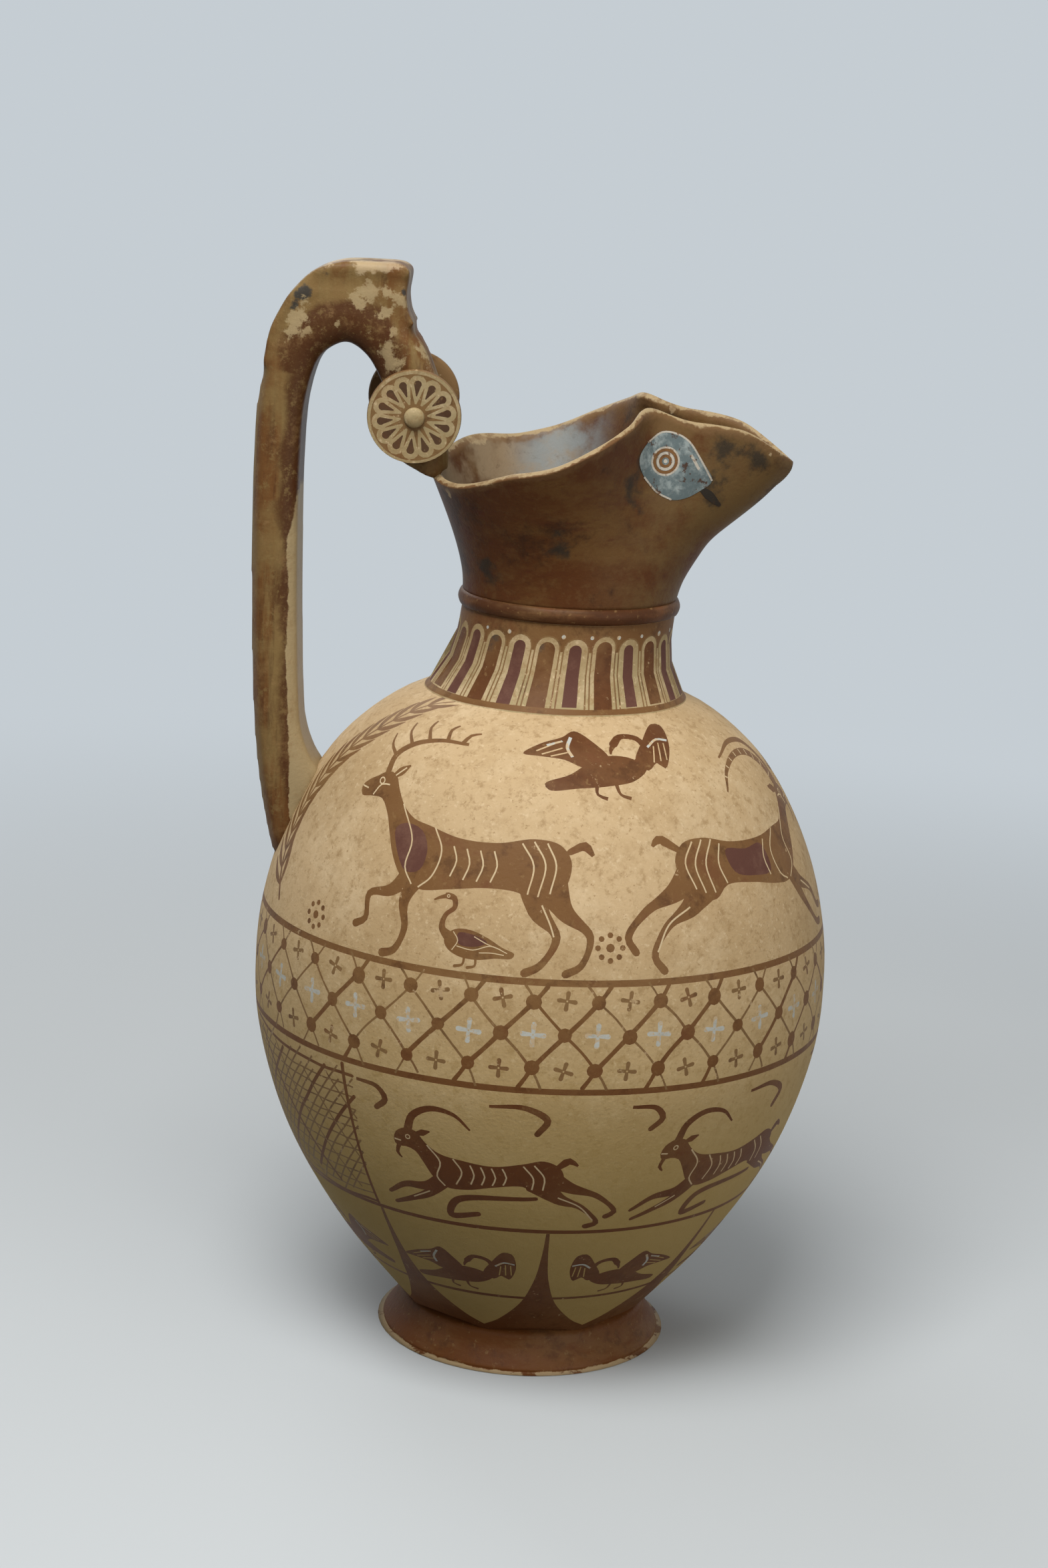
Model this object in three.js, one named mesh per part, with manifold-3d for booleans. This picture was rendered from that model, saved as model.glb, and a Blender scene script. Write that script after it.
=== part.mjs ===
// A trefoil-mouthed pouring jug of fired clay, made as a potter makes it: a thrown foot, body, neck,
// collar and flared mouth pinched into three lobes, with a pulled strap handle, a thumb rest and a pair
// of discs where the handle meets the rim. Millimetres, +Z up, spout towards +X, handle towards -X.
// The origin is the centre of the foot's flat underside.
import * as THREE from 'three';
import { mergeVertices } from 'three/addons/utils/BufferGeometryUtils.js';
import Module from 'manifold-3d';

// Driving dimensions
const JOINT_GAP = 0.3;          // slip layer left between two luted pieces
const ROUND_STEPS = 56;         // facets round a thrown piece

const FOOT_R = 43.1;            // widest radius of the foot
const FOOT_H = 10.6;            // height of the foot
const FOOT_EDGE_H = 2.0;        // height of its thin rounded edge
const FOOT_TOP_R = 37.2;        // radius where the body stands on it

const WALL = 4.0;               // wall of body, neck and collar
const FLOOR = 6.0;              // floor of the body
const BODY_H = 191.0;           // body height, seat to shoulder opening
const BODY_R = 86.8;            // greatest radius
const BODY_BELLY = 0.552;       // height of the greatest radius, as a share of BODY_H
const BODY_TOP_R = 39.2;        // radius at the shoulder opening

const NECK_H = 25.0;            // height of the tongue-painted neck
const NECK_R = 31.8;            // its narrowest radius
const COLLAR_H = 4.0;           // height of the raised ring
const COLLAR_R = 33.1;          // its radius
const NECK_LEAN = 2.6;          // how far the neck's top is set over towards the spout

const MOUTH_WALL = 3.2;         // wall of the mouth at the lip
const MOUTH_BACK_X = 41.0;      // reach of the lip behind the axis
const MOUTH_BACK_H = 35.0;      // lip height above the collar, at the back
const LOBE_HALF_W = 46.5;       // half width over the side lobes
const LOBE_H = 42.3;            // lip height above the collar, at the lobes' widest
const PINCH_X = 23.6;           // where the lip is pinched
const PINCH_HALF_W = 18.0;      // half width there
const PINCH_H = 57.0;           // lip height above the collar, at the pinch
const SPOUT_X = 66.2;           // reach of the spout
const SPOUT_HALF_W = 15.5;      // half width of the spout lobe
const SPOUT_H = 42.5;           // lip height above the collar, at the spout's tip
const LIP_ROUND = 1.2;          // rise of the lip's rounded edge
const LIP_SKEW = 0.033;         // rise of the lip per millimetre to the left
const BACK_SKEW = 0.15;         // further rise per millimetre at the back, by the strap
const STRAP_ROLL = 4.9;         // degrees the strap's front end is rolled up to the left
const STRAP_YAW = 3.6;          // and turned back to the left

const STRAP_W = 26.0;           // width of the handle strap
const STRAP_T = 14.0;           // its thickness
const REED_DEPTH = 1.6;         // depth of the grooves between its three reeds
const RISER_INSET = 1.3;        // how far inside the belly's reach the riser stands
const HANDLE_RISE = 43.2;       // the crown's centreline above the back of the lip
const ROOT_DROP = 58.2;         // how far under the shoulder opening the strap runs into the body

const REST_BACK = 22.5;         // reach of the thumb rest behind the crown
const REST_FRONT = 18.3;        // its reach in front of the crown
const REST_H = 9.3;             // how far it rises over the strap
const REST_W = 24.5;            // its width
const REST_EDGE = 2.6;          // rounding of its long top edges

const DISC_R = 13.6;            // radius of the flanking discs
const DISC_T = 3.6;             // their thickness
const DISC_BACK = 5.2;          // their centre behind the back of the lip
const DISC_RISE = 17.7;         // and above it
const STEM_R = 7.0;             // radius of the stem between strap and disc
const STEM_L = 1.6;             // its length
const BOSS_R = 3.0;             // radius of the bead in the disc's middle
const BOSS_H = 1.6;             // its height

// Levels that follow from the sizes above
const BODY_Z = FOOT_H + JOINT_GAP;
const BODY_TOP = BODY_Z + BODY_H;
const NECK_Z = BODY_TOP + JOINT_GAP;
const NECK_TOP = NECK_Z + NECK_H;
const COLLAR_Z = NECK_TOP + JOINT_GAP;
const COLLAR_TOP = COLLAR_Z + COLLAR_H;
const MOUTH_Z = COLLAR_TOP + JOINT_GAP;
const LIP_BACK_Z = MOUTH_Z + MOUTH_BACK_H;
const RISER_X = BODY_R - RISER_INSET;
const CROWN_Z = LIP_BACK_Z + HANDLE_RISE;
const DISC_X = MOUTH_BACK_X + DISC_BACK;
const DISC_Z = LIP_BACK_Z + DISC_RISE;
const CROWN_X = (RISER_X + DISC_X) / 2 + 0.9;
const ROOT_Z = BODY_TOP - ROOT_DROP;

const wasm = await Module();
wasm.setup();

// Closed mesh to solid and back
function toSolid(geometry) {
  const bare = new THREE.BufferGeometry();
  bare.setAttribute('position', geometry.getAttribute('position').clone());
  if (geometry.index) bare.setIndex(geometry.index.clone());
  const merged = mergeVertices(bare, 1e-4);
  return new wasm.Manifold(new wasm.Mesh({
    numProp: 3,
    vertProperties: new Float32Array(merged.getAttribute('position').array),
    triVerts: new Uint32Array(merged.index.array),
  }));
}

function toGeometry(solid) {
  const mesh = solid.getMesh();
  const geometry = new THREE.BufferGeometry();
  geometry.setAttribute('position', new THREE.BufferAttribute(new Float32Array(mesh.vertProperties), 3));
  geometry.setIndex(new THREE.BufferAttribute(new Uint32Array(mesh.triVerts), 1));
  geometry.computeVertexNormals();
  return geometry;
}

// A turned piece: profile points are [radius, height], counter-clockwise seen with +r right, +z up
function turned(profile, steps = ROUND_STEPS) {
  const points = profile.map(([r, z]) => new THREE.Vector2(r, z));
  const first = points[0];
  const last = points[points.length - 1];
  if (first.x > 0 || last.x > 0) points.push(first.clone());
  const geometry = new THREE.LatheGeometry(points, steps);
  geometry.rotateX(Math.PI / 2);
  return geometry;
}

// Closed grid of rings, each ring a list of points; capped or joined end to end
function ringSolid(rings, joinEnds) {
  const n = rings[0].length;
  const position = [];
  const index = [];
  for (const ring of rings) for (const p of ring) position.push(p.x, p.y, p.z);
  const rows = joinEnds ? rings.length : rings.length - 1;
  for (let i = 0; i < rows; i += 1) {
    const a = i * n;
    const b = ((i + 1) % rings.length) * n;
    for (let j = 0; j < n; j += 1) {
      const k = (j + 1) % n;
      index.push(a + j, a + k, b + k, a + j, b + k, b + j);
    }
  }
  if (!joinEnds) {
    for (const [ring, flip] of [[0, true], [rings.length - 1, false]]) {
      const centre = new THREE.Vector3();
      for (const p of rings[ring]) centre.addScaledVector(p, 1 / n);
      const c = position.length / 3;
      position.push(centre.x, centre.y, centre.z);
      for (let j = 0; j < n; j += 1) {
        const p = ring * n + j;
        const q = ring * n + ((j + 1) % n);
        if (flip) index.push(c, q, p);
        else index.push(c, p, q);
      }
    }
  }
  const geometry = new THREE.BufferGeometry();
  geometry.setAttribute('position', new THREE.Float32BufferAttribute(position, 3));
  geometry.setIndex(index);
  geometry.computeVertexNormals();
  return geometry;
}

// Body outline: radius at a height above the seat, from points placed by the driving sizes
const bodyCurve = new THREE.CatmullRomCurve3([
  [FOOT_TOP_R + 0.3, 0],
  [0.682 * BODY_R, 0.140],
  [0.882 * BODY_R, 0.298],
  [0.985 * BODY_R, 0.4545],
  [BODY_R, BODY_BELLY],
  [0.985 * BODY_R, 0.6435],
  [0.911 * BODY_R, 0.768],
  [0.752 * BODY_R, 0.899],
  [0.566 * BODY_R, 0.9746],
  [BODY_TOP_R, 1],
].map(([r, h]) => new THREE.Vector3(r, 0, BODY_Z + h * BODY_H)), false, 'centripetal');
const bodyOuter = bodyCurve.getSpacedPoints(30).map((p) => [p.x, p.z]);

// The same outline moved square to itself by a distance, inwards when negative
function offsetProfile(profile, distance) {
  return profile.map(([r, z], i) => {
    const [r0, z0] = profile[Math.max(i - 1, 0)];
    const [r1, z1] = profile[Math.min(i + 1, profile.length - 1)];
    const length = Math.hypot(r1 - r0, z1 - z0);
    return [r + (z1 - z0) / length * distance, z - (r1 - r0) / length * distance];
  });
}

const bodyInner = offsetProfile(bodyOuter, -WALL)
  .filter(([r, z], i) => i % 2 === 0 && z > BODY_Z + FLOOR + 1 && z < BODY_TOP - 1 && r > BODY_TOP_R - WALL);
const bodyBoreR = BODY_TOP_R - WALL;
const bodyProfile = [
  [0, BODY_Z],
  ...bodyOuter,
  [bodyBoreR, BODY_TOP],
  ...bodyInner.slice().reverse(),
  [bodyInner[0][0] - 3, BODY_Z + FLOOR],
  [0, BODY_Z + FLOOR],
];
const bodyGeometry = turned(bodyProfile);

// Foot: a low cone on a thin rounded edge, with a flat underside
const footRun = FOOT_R - 0.5 - FOOT_TOP_R;
const footRise = FOOT_H - FOOT_EDGE_H;
const footProfile = [
  [0, 0],
  [FOOT_R - 0.9, 0],
  [FOOT_R - 0.2, FOOT_EDGE_H * 0.22],
  [FOOT_R, FOOT_EDGE_H * 0.55],
  [FOOT_R - 0.5, FOOT_EDGE_H],
  [FOOT_R - 0.5 - footRun * 0.36, FOOT_EDGE_H + footRise * 0.3],
  [FOOT_R - 0.5 - footRun * 0.7, FOOT_EDGE_H + footRise * 0.64],
  [FOOT_TOP_R, FOOT_H],
  [0, FOOT_H],
];
const footGeometry = turned(footProfile);

// Neck, collar: turned rings set over towards the spout as they rise
function leaning(geometry) {
  const p = geometry.getAttribute('position');
  for (let i = 0; i < p.count; i += 1) {
    const rise = THREE.MathUtils.clamp((p.getZ(i) - NECK_Z) / NECK_H, 0, 1);
    p.setX(i, p.getX(i) + NECK_LEAN * rise);
  }
  geometry.computeVertexNormals();
  return geometry;
}

const neckOuter = [];
for (let i = 0; i <= 8; i += 1) {
  const t = i / 8;
  const flare = (BODY_TOP_R - NECK_R) * (1 - t) ** 3;
  neckOuter.push([NECK_R + flare, NECK_Z + NECK_H * t]);
}
const neckProfile = [
  ...neckOuter,
  ...neckOuter.map(([r, z]) => [r - WALL, z]).reverse(),
];
const neckGeometry = leaning(turned(neckProfile));

const collarProfile = [
  [NECK_R, COLLAR_Z],
  [NECK_R + (COLLAR_R - NECK_R) * 0.75, COLLAR_Z + COLLAR_H * 0.14],
  [COLLAR_R, COLLAR_Z + COLLAR_H * 0.38],
  [COLLAR_R, COLLAR_Z + COLLAR_H * 0.62],
  [NECK_R + (COLLAR_R - NECK_R) * 0.75, COLLAR_Z + COLLAR_H * 0.86],
  [NECK_R, COLLAR_TOP],
  [NECK_R - WALL, COLLAR_TOP],
  [NECK_R - WALL, COLLAR_Z],
];
const collarGeometry = leaning(turned(collarProfile));

// Mouth: the lip's line from the back round one side lobe and the pinch to the spout's tip
const MOUTH_STEPS = 40;
const lipPoints = [
  [-MOUTH_BACK_X, 0, MOUTH_BACK_H],
  [-0.93 * MOUTH_BACK_X, 0.31 * LOBE_HALF_W, MOUTH_BACK_H + 0.5],
  [-0.74 * MOUTH_BACK_X, 0.65 * LOBE_HALF_W, MOUTH_BACK_H + 2.0],
  [-0.44 * MOUTH_BACK_X, 0.905 * LOBE_HALF_W, MOUTH_BACK_H + 0.55 * (LOBE_H - MOUTH_BACK_H)],
  [-0.10 * MOUTH_BACK_X, LOBE_HALF_W, LOBE_H],
  [0.36 * PINCH_X, 0.925 * LOBE_HALF_W, LOBE_H + 0.41 * (PINCH_H - LOBE_H)],
  [0.73 * PINCH_X, 0.71 * LOBE_HALF_W, LOBE_H + 0.74 * (PINCH_H - LOBE_H)],
  [PINCH_X, PINCH_HALF_W, PINCH_H],
  [PINCH_X + 0.12 * (SPOUT_X - PINCH_X), SPOUT_HALF_W, PINCH_H - 0.11 * (PINCH_H - SPOUT_H)],
  [PINCH_X + 0.28 * (SPOUT_X - PINCH_X), SPOUT_HALF_W, PINCH_H - 0.24 * (PINCH_H - SPOUT_H)],
  [PINCH_X + 0.48 * (SPOUT_X - PINCH_X), 0.93 * SPOUT_HALF_W, PINCH_H - 0.30 * (PINCH_H - SPOUT_H)],
  [PINCH_X + 0.69 * (SPOUT_X - PINCH_X), 0.72 * SPOUT_HALF_W, PINCH_H - 0.43 * (PINCH_H - SPOUT_H)],
  [PINCH_X + 0.88 * (SPOUT_X - PINCH_X), 0.41 * SPOUT_HALF_W, PINCH_H - 0.76 * (PINCH_H - SPOUT_H)],
  [SPOUT_X, 0, SPOUT_H],
];
const lipCurve = new THREE.CatmullRomCurve3(
  lipPoints.map(([x, y, z]) => new THREE.Vector3(x, y, MOUTH_Z + z)), false, 'centripetal');
const lipHalf = lipCurve.getSpacedPoints(MOUTH_STEPS);
const lip = [];
for (let i = 0; i <= MOUTH_STEPS; i += 1) lip.push(new THREE.Vector3(lipHalf[i].x, -lipHalf[i].y, lipHalf[i].z));
for (let i = MOUTH_STEPS - 1; i > 0; i -= 1) lip.push(lipHalf[i].clone());
for (const p of lip) {
  const back = THREE.MathUtils.smoothstep(-p.x, 0.35 * MOUTH_BACK_X, 0.98 * MOUTH_BACK_X);
  p.z += (LIP_SKEW + BACK_SKEW * back) * p.y;
}

// The lip's line with its pinches eased, which the wall under it follows
let easedLip = lip.map((p) => p.clone());
for (let pass = 0; pass < 10; pass += 1) {
  easedLip = easedLip.map((p, i) => {
    const before = easedLip[(i + lip.length - 1) % lip.length];
    const after = easedLip[(i + 1) % lip.length];
    return p.clone().multiplyScalar(2).add(before).add(after).multiplyScalar(0.25);
  });
}
const easedReach = (SPOUT_X - PINCH_X) / (easedLip[MOUTH_STEPS].x - PINCH_X);
for (const p of easedLip) if (p.x > PINCH_X) p.x = PINCH_X + (p.x - PINCH_X) * easedReach;

// A point of the mouth's outside: u counts round the lip, s runs from the collar up to the lip
const MOUTH_LEVELS = [0, 0.1, 0.2, 0.3, 0.4, 0.5, 0.6, 0.7, 0.8, 0.9, 0.955, 1];
function mouthPoint(u, s, shrink) {
  const top = easedLip[u].clone().lerp(lip[u], s ** 3);
  const angle = Math.PI * (1 + 2 * u / lip.length);
  const baseR = NECK_R - shrink;
  const base = new THREE.Vector3(
    NECK_LEAN + baseR * Math.cos(angle), baseR * Math.sin(angle), MOUTH_Z);
  const front = THREE.MathUtils.smoothstep(top.x, 0.5 * SPOUT_X, 0.95 * SPOUT_X);
  const power = THREE.MathUtils.lerp(1.64 - 0.5 * s, 1.36 - 1.75 * Math.max(s - 0.4, 0), front);
  const nose = 2.0 * front * Math.max(s - 0.8, 0) * (1 - s);
  const out = s ** power + nose;
  const inset = new THREE.Vector3(top.x - NECK_LEAN, top.y, 0);
  inset.multiplyScalar(1 - shrink / inset.length());
  return new THREE.Vector3(
    base.x + (inset.x + NECK_LEAN - base.x) * out,
    base.y + (inset.y - base.y) * out,
    MOUTH_Z + (top.z - MOUTH_Z) * s);
}

function mouthRing(s, shrink, lift = 0) {
  const ring = [];
  for (let u = 0; u < lip.length; u += 1) {
    const p = mouthPoint(u, s, shrink);
    p.z += lift;
    ring.push(p);
  }
  return ring;
}

const mouthRings = [];
for (const s of MOUTH_LEVELS) mouthRings.push(mouthRing(s, 0));
mouthRings.push(mouthRing(1, MOUTH_WALL / 2, LIP_ROUND));
for (const s of MOUTH_LEVELS.slice().reverse()) mouthRings.push(mouthRing(s, MOUTH_WALL));
const mouthGeometry = ringSolid(mouthRings, true);

// What the handle must keep clear of: body and mouth, filled and grown by the slip layer
const bodyKeep = turned([
  [0, BODY_Z - 5],
  [FOOT_TOP_R, BODY_Z - 5],
  ...offsetProfile(bodyOuter, JOINT_GAP),
  [0, BODY_TOP + JOINT_GAP],
]);
const mouthKeepRings = MOUTH_LEVELS.map((s) => mouthRing(s, -JOINT_GAP));
mouthKeepRings.push(mouthRing(1, -JOINT_GAP, LIP_ROUND + JOINT_GAP));
mouthKeepRings.push(mouthRing(1, 3 * MOUTH_WALL, LIP_ROUND + JOINT_GAP));
const mouthKeep = ringSolid(mouthKeepRings, false);

// Handle: a strap with three reeds, swept up from the shoulder, over the crown and down to the lip
const strapPath = new THREE.CatmullRomCurve3([
  [-RISER_X + 12.5, ROOT_Z - 4],
  [-RISER_X + 8.2, ROOT_Z + 12],
  [-RISER_X + 4.6, ROOT_Z + 30],
  [-RISER_X + 2.4, ROOT_Z + 50],
  [-RISER_X + 1.1, ROOT_Z + 74],
  [-RISER_X + 0.2, LIP_BACK_Z - 20.6],
  [-RISER_X, LIP_BACK_Z + 2.4],
  [-RISER_X + 1.2, CROWN_Z - 22],
  [-RISER_X + 6.5, CROWN_Z - 7],
  [-CROWN_X, CROWN_Z],
  [-DISC_X - 9.2, CROWN_Z - 4.4],
  [-DISC_X - 2.4, CROWN_Z - 14.5],
  [-DISC_X + 1.4, DISC_Z],
  [-MOUTH_BACK_X - 2.2, LIP_BACK_Z + 4.4],
  [-MOUTH_BACK_X - 1.2, LIP_BACK_Z - 9.6],
].map(([x, z]) => new THREE.Vector3(x, 0, z)), false, 'centripetal');

// Section of the strap: [out, across], out being away from the pot; the inner face swells at the root
function strapSection(rootSwell, thick) {
  const half = STRAP_W / 2;
  const t = STRAP_T / 2 * thick;
  const inner = t * (1 + rootSwell);
  const edge = 3.0;
  const section = [
    [-inner, -half + edge],
    [-inner, 0],
    [-inner, half - edge],
    [-inner * 0.55, half - 0.6],
    [0, half],
    [t * 0.6, half - 0.5],
    [t, half - 0.2 * STRAP_W],
    [t * 0.9, half - 0.26 * STRAP_W],
    [t - REED_DEPTH, half - STRAP_W / 3],
    [t * 0.92, half - 0.4 * STRAP_W],
    [t, 0],
    [t * 0.92, -half + 0.4 * STRAP_W],
    [t - REED_DEPTH, -half + STRAP_W / 3],
    [t * 0.9, -half + 0.26 * STRAP_W],
    [t, -half + 0.2 * STRAP_W],
    [t * 0.6, -half + 0.5],
    [0, -half],
    [-inner * 0.55, -half + 0.6],
  ];
  return section;
}

// The strap's crosswise direction: square to the plane of the handle, set askew towards the front end
function acrossAt(share) {
  return new THREE.Vector3(0, 1, 0)
    .applyAxisAngle(new THREE.Vector3(1, 0, 0), THREE.MathUtils.degToRad(STRAP_ROLL) * share)
    .applyAxisAngle(new THREE.Vector3(0, 0, 1), THREE.MathUtils.degToRad(STRAP_YAW) * share);
}

const STRAP_RINGS = 44;
const strapRings = [];
const strapCentres = [];
for (let i = 0; i <= STRAP_RINGS; i += 1) {
  const t = i / STRAP_RINGS;
  const p = strapPath.getPointAt(t);
  const tangent = strapPath.getTangentAt(t);
  const out = new THREE.Vector3(-tangent.z, 0, tangent.x);
  const falling = THREE.MathUtils.smoothstep(p.x, -CROWN_X, -DISC_X - 2);
  const swell = p.x > -CROWN_X ? 0 : 0.9 * (1 - THREE.MathUtils.smoothstep(p.z, ROOT_Z + 16, ROOT_Z + 46));
  const across = acrossAt(falling);
  strapCentres.push(p);
  strapRings.push(strapSection(swell, 1 + 0.14 * falling).map(([o, a]) => p.clone()
    .addScaledVector(out, o).addScaledVector(across, a)));
}

// The strap's lower end outside the lip is cut to a slope under the discs
const slopeShape = new THREE.Shape();
slopeShape.moveTo(-DISC_X - 11.3, LIP_BACK_Z + 6.7);
slopeShape.lineTo(-MOUTH_BACK_X + 1.0, LIP_BACK_Z - 2.2);
slopeShape.lineTo(-MOUTH_BACK_X + 14.0, LIP_BACK_Z - 6.0);
slopeShape.lineTo(-MOUTH_BACK_X + 14.0, LIP_BACK_Z - 25);
slopeShape.lineTo(-DISC_X - 11.3, LIP_BACK_Z - 25);
slopeShape.closePath();
const slopeGeometry = new THREE.ExtrudeGeometry(slopeShape, { depth: 3 * STRAP_W, bevelEnabled: false });
slopeGeometry.rotateX(Math.PI / 2);
slopeGeometry.translate(0, 1.5 * STRAP_W, 0);

const strapSolid = toSolid(ringSolid(strapRings, false));
const handleSolid = strapSolid.subtract(toSolid(bodyKeep)).subtract(toSolid(mouthKeep))
  .subtract(toSolid(slopeGeometry));
const handleParts = handleSolid.decompose().sort((a, b) => b.volume() - a.volume());
const handleGeometry = toGeometry(handleParts[0]);

// Thumb rest: a saddle that swells out of the strap's back, with a flat top and a square front
const strapTop = CROWN_Z + STRAP_T / 2;
const restTop = strapTop + REST_H;
const restShape = new THREE.Shape();
restShape.moveTo(-CROWN_X - REST_BACK - 1.5, strapTop - 23.5);
restShape.splineThru([
  [-CROWN_X - REST_BACK + 0.6, strapTop - 12.4],
  [-CROWN_X - REST_BACK + 3.4, strapTop - 5.8],
  [-CROWN_X - REST_BACK + 6.8, strapTop - 0.2],
  [-CROWN_X - REST_BACK + 12.8, strapTop + REST_H - 3.4],
  [-CROWN_X - REST_BACK + 20.0, restTop - 0.6],
  [-CROWN_X - REST_BACK + 26.0, restTop],
].map(([x, y]) => new THREE.Vector2(x, y)));
restShape.lineTo(-CROWN_X + REST_FRONT - 3.6, restTop);
restShape.lineTo(-CROWN_X + REST_FRONT - 1.0, restTop - 0.9);
restShape.lineTo(-CROWN_X + REST_FRONT, restTop - 2.4);
restShape.lineTo(-CROWN_X + REST_FRONT - 0.2, restTop - 5.2);
restShape.lineTo(-CROWN_X + REST_FRONT - 0.9, restTop - 9.0);
restShape.lineTo(-CROWN_X + REST_FRONT + 0.1, restTop - 14.6);
restShape.lineTo(-CROWN_X + REST_FRONT + 2.4, restTop - 17.6);
restShape.lineTo(-CROWN_X + REST_FRONT - 4.0, restTop - 21.0);
restShape.lineTo(-CROWN_X, strapTop - STRAP_T / 2);
restShape.lineTo(-CROWN_X - 12, strapTop - STRAP_T / 2 - 3.5);
restShape.closePath();
const restBlade = new THREE.ExtrudeGeometry(restShape, { depth: REST_W, bevelEnabled: false, curveSegments: 3 });
restBlade.rotateX(Math.PI / 2);
restBlade.translate(0, REST_W / 2, 0);

// Its cross-section: straight sides and a top with rounded edges, run from back to front
const restRail = new THREE.Shape();
const railFoot = strapTop - 2 * STRAP_T;
restRail.moveTo(-REST_W / 2, railFoot);
restRail.lineTo(REST_W / 2, railFoot);
restRail.lineTo(REST_W / 2, restTop - REST_H - 1);
restRail.quadraticCurveTo(REST_W / 2 - 1.6, restTop - REST_H / 2 - 1, REST_W / 2, restTop - REST_EDGE);
restRail.absarc(REST_W / 2 - REST_EDGE, restTop - REST_EDGE, REST_EDGE, 0, Math.PI / 2, false);
restRail.lineTo(REST_EDGE - REST_W / 2, restTop);
restRail.absarc(REST_EDGE - REST_W / 2, restTop - REST_EDGE, REST_EDGE, Math.PI / 2, Math.PI, false);
restRail.quadraticCurveTo(1.6 - REST_W / 2, restTop - REST_H / 2 - 1, -REST_W / 2, restTop - REST_H - 1);
restRail.closePath();
const railLength = 2 * (REST_BACK + REST_FRONT);
const railGeometry = new THREE.ExtrudeGeometry(restRail, { depth: railLength, bevelEnabled: false, curveSegments: 3 });
railGeometry.rotateX(Math.PI / 2);
railGeometry.rotateZ(Math.PI / 2);
railGeometry.translate(-CROWN_X - railLength / 2, 0, 0);

function strapGrown(grow) {
  const rings = strapRings.map((ring, i) => ring.map((p) => strapCentres[i].clone()
    .addScaledVector(p.clone().sub(strapCentres[i]), 1 + grow / (STRAP_T / 2 - REED_DEPTH))));
  return toSolid(ringSolid(rings, false));
}
const strapKeep = strapGrown(JOINT_GAP);
const restParts = toSolid(restBlade).intersect(toSolid(railGeometry)).subtract(strapKeep).decompose()
  .sort((a, b) => b.volume() - a.volume());
const restGeometry = toGeometry(restParts[0]);

// Discs that flank the strap where it meets the lip, each on a short stem with a bead in its middle
const DISC_FACE = STRAP_W / 2 + JOINT_GAP + STEM_L;
function discPlace(sign) {
  const turn = new THREE.Quaternion()
    .setFromUnitVectors(new THREE.Vector3(0, 1, 0), acrossAt(1).multiplyScalar(sign));
  if (sign < 0) turn.multiply(new THREE.Quaternion().setFromAxisAngle(new THREE.Vector3(0, 1, 0), Math.PI / 32));
  return new THREE.Matrix4().makeTranslation(-DISC_X, 0, DISC_Z)
    .multiply(new THREE.Matrix4().makeRotationFromQuaternion(turn));
}

function discGeometry(sign) {
  const profile = [
    [0, STRAP_W / 4],
    [STEM_R, STRAP_W / 4],
    [STEM_R, DISC_FACE],
    [DISC_R - 0.7, DISC_FACE],
    [DISC_R, DISC_FACE + 0.9],
    [DISC_R, DISC_FACE + DISC_T - 0.9],
    [DISC_R - 0.7, DISC_FACE + DISC_T],
    [0, DISC_FACE + DISC_T],
  ];
  const points = profile.map(([r, h]) => new THREE.Vector2(r, h));
  const whole = new THREE.LatheGeometry(points, 32).applyMatrix4(discPlace(sign));
  const seated = toSolid(whole).subtract(strapKeep).decompose().sort((p, q) => q.volume() - p.volume());
  return toGeometry(seated[0]);
}

function bossGeometry(sign) {
  const start = DISC_FACE + DISC_T + JOINT_GAP;
  const profile = [
    [0, start],
    [BOSS_R, start],
    [BOSS_R * 0.9, start + BOSS_H * 0.55],
    [BOSS_R * 0.5, start + BOSS_H * 0.92],
    [0, start + BOSS_H],
  ];
  const points = profile.map(([r, h]) => new THREE.Vector2(r, h));
  return new THREE.LatheGeometry(points, 20).applyMatrix4(discPlace(sign));
}

function clay(color, roughness) {
  return new THREE.MeshStandardMaterial({ color, roughness, metalness: 0 });
}

const jug = new THREE.Group();
function add(name, geometry, material) {
  const mesh = new THREE.Mesh(geometry, material);
  mesh.name = name;
  jug.add(mesh);
  return mesh;
}

add('foot', footGeometry, clay(0x6e4526, 0.55));
add('body', bodyGeometry, clay(0xc9a877, 0.75));
add('neck', neckGeometry, clay(0xb09468, 0.7));
add('neck_ring', collarGeometry, clay(0x7a5230, 0.55));
add('mouth', mouthGeometry, clay(0x5d3a22, 0.5));
add('handle', handleGeometry, clay(0x6b4427, 0.5));
add('thumb_rest', restGeometry, clay(0x7b5635, 0.6));

for (const [side, sign] of [['right', -1], ['left', 1]]) {
  add(`disc_${side}`, discGeometry(sign), clay(0xa98c5f, 0.7));
  add(`boss_${side}`, bossGeometry(sign), clay(0x9c8055, 0.7));
}

export default jug;
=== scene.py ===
"""Looks of the trefoil-mouthed jug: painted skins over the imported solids, clay and slip, light and camera.

The painting is laid out flat, in millimetres, as outlines of brush strokes and figures. Each band of the
pot gets a mesh cut along those outlines, so that every stroke is a material of its own on the curved wall.
"""
import math
import random

import bmesh
import bpy
import numpy as np
from mathutils import Matrix, Vector, geometry
from mathutils.bvhtree import BVHTree


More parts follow.
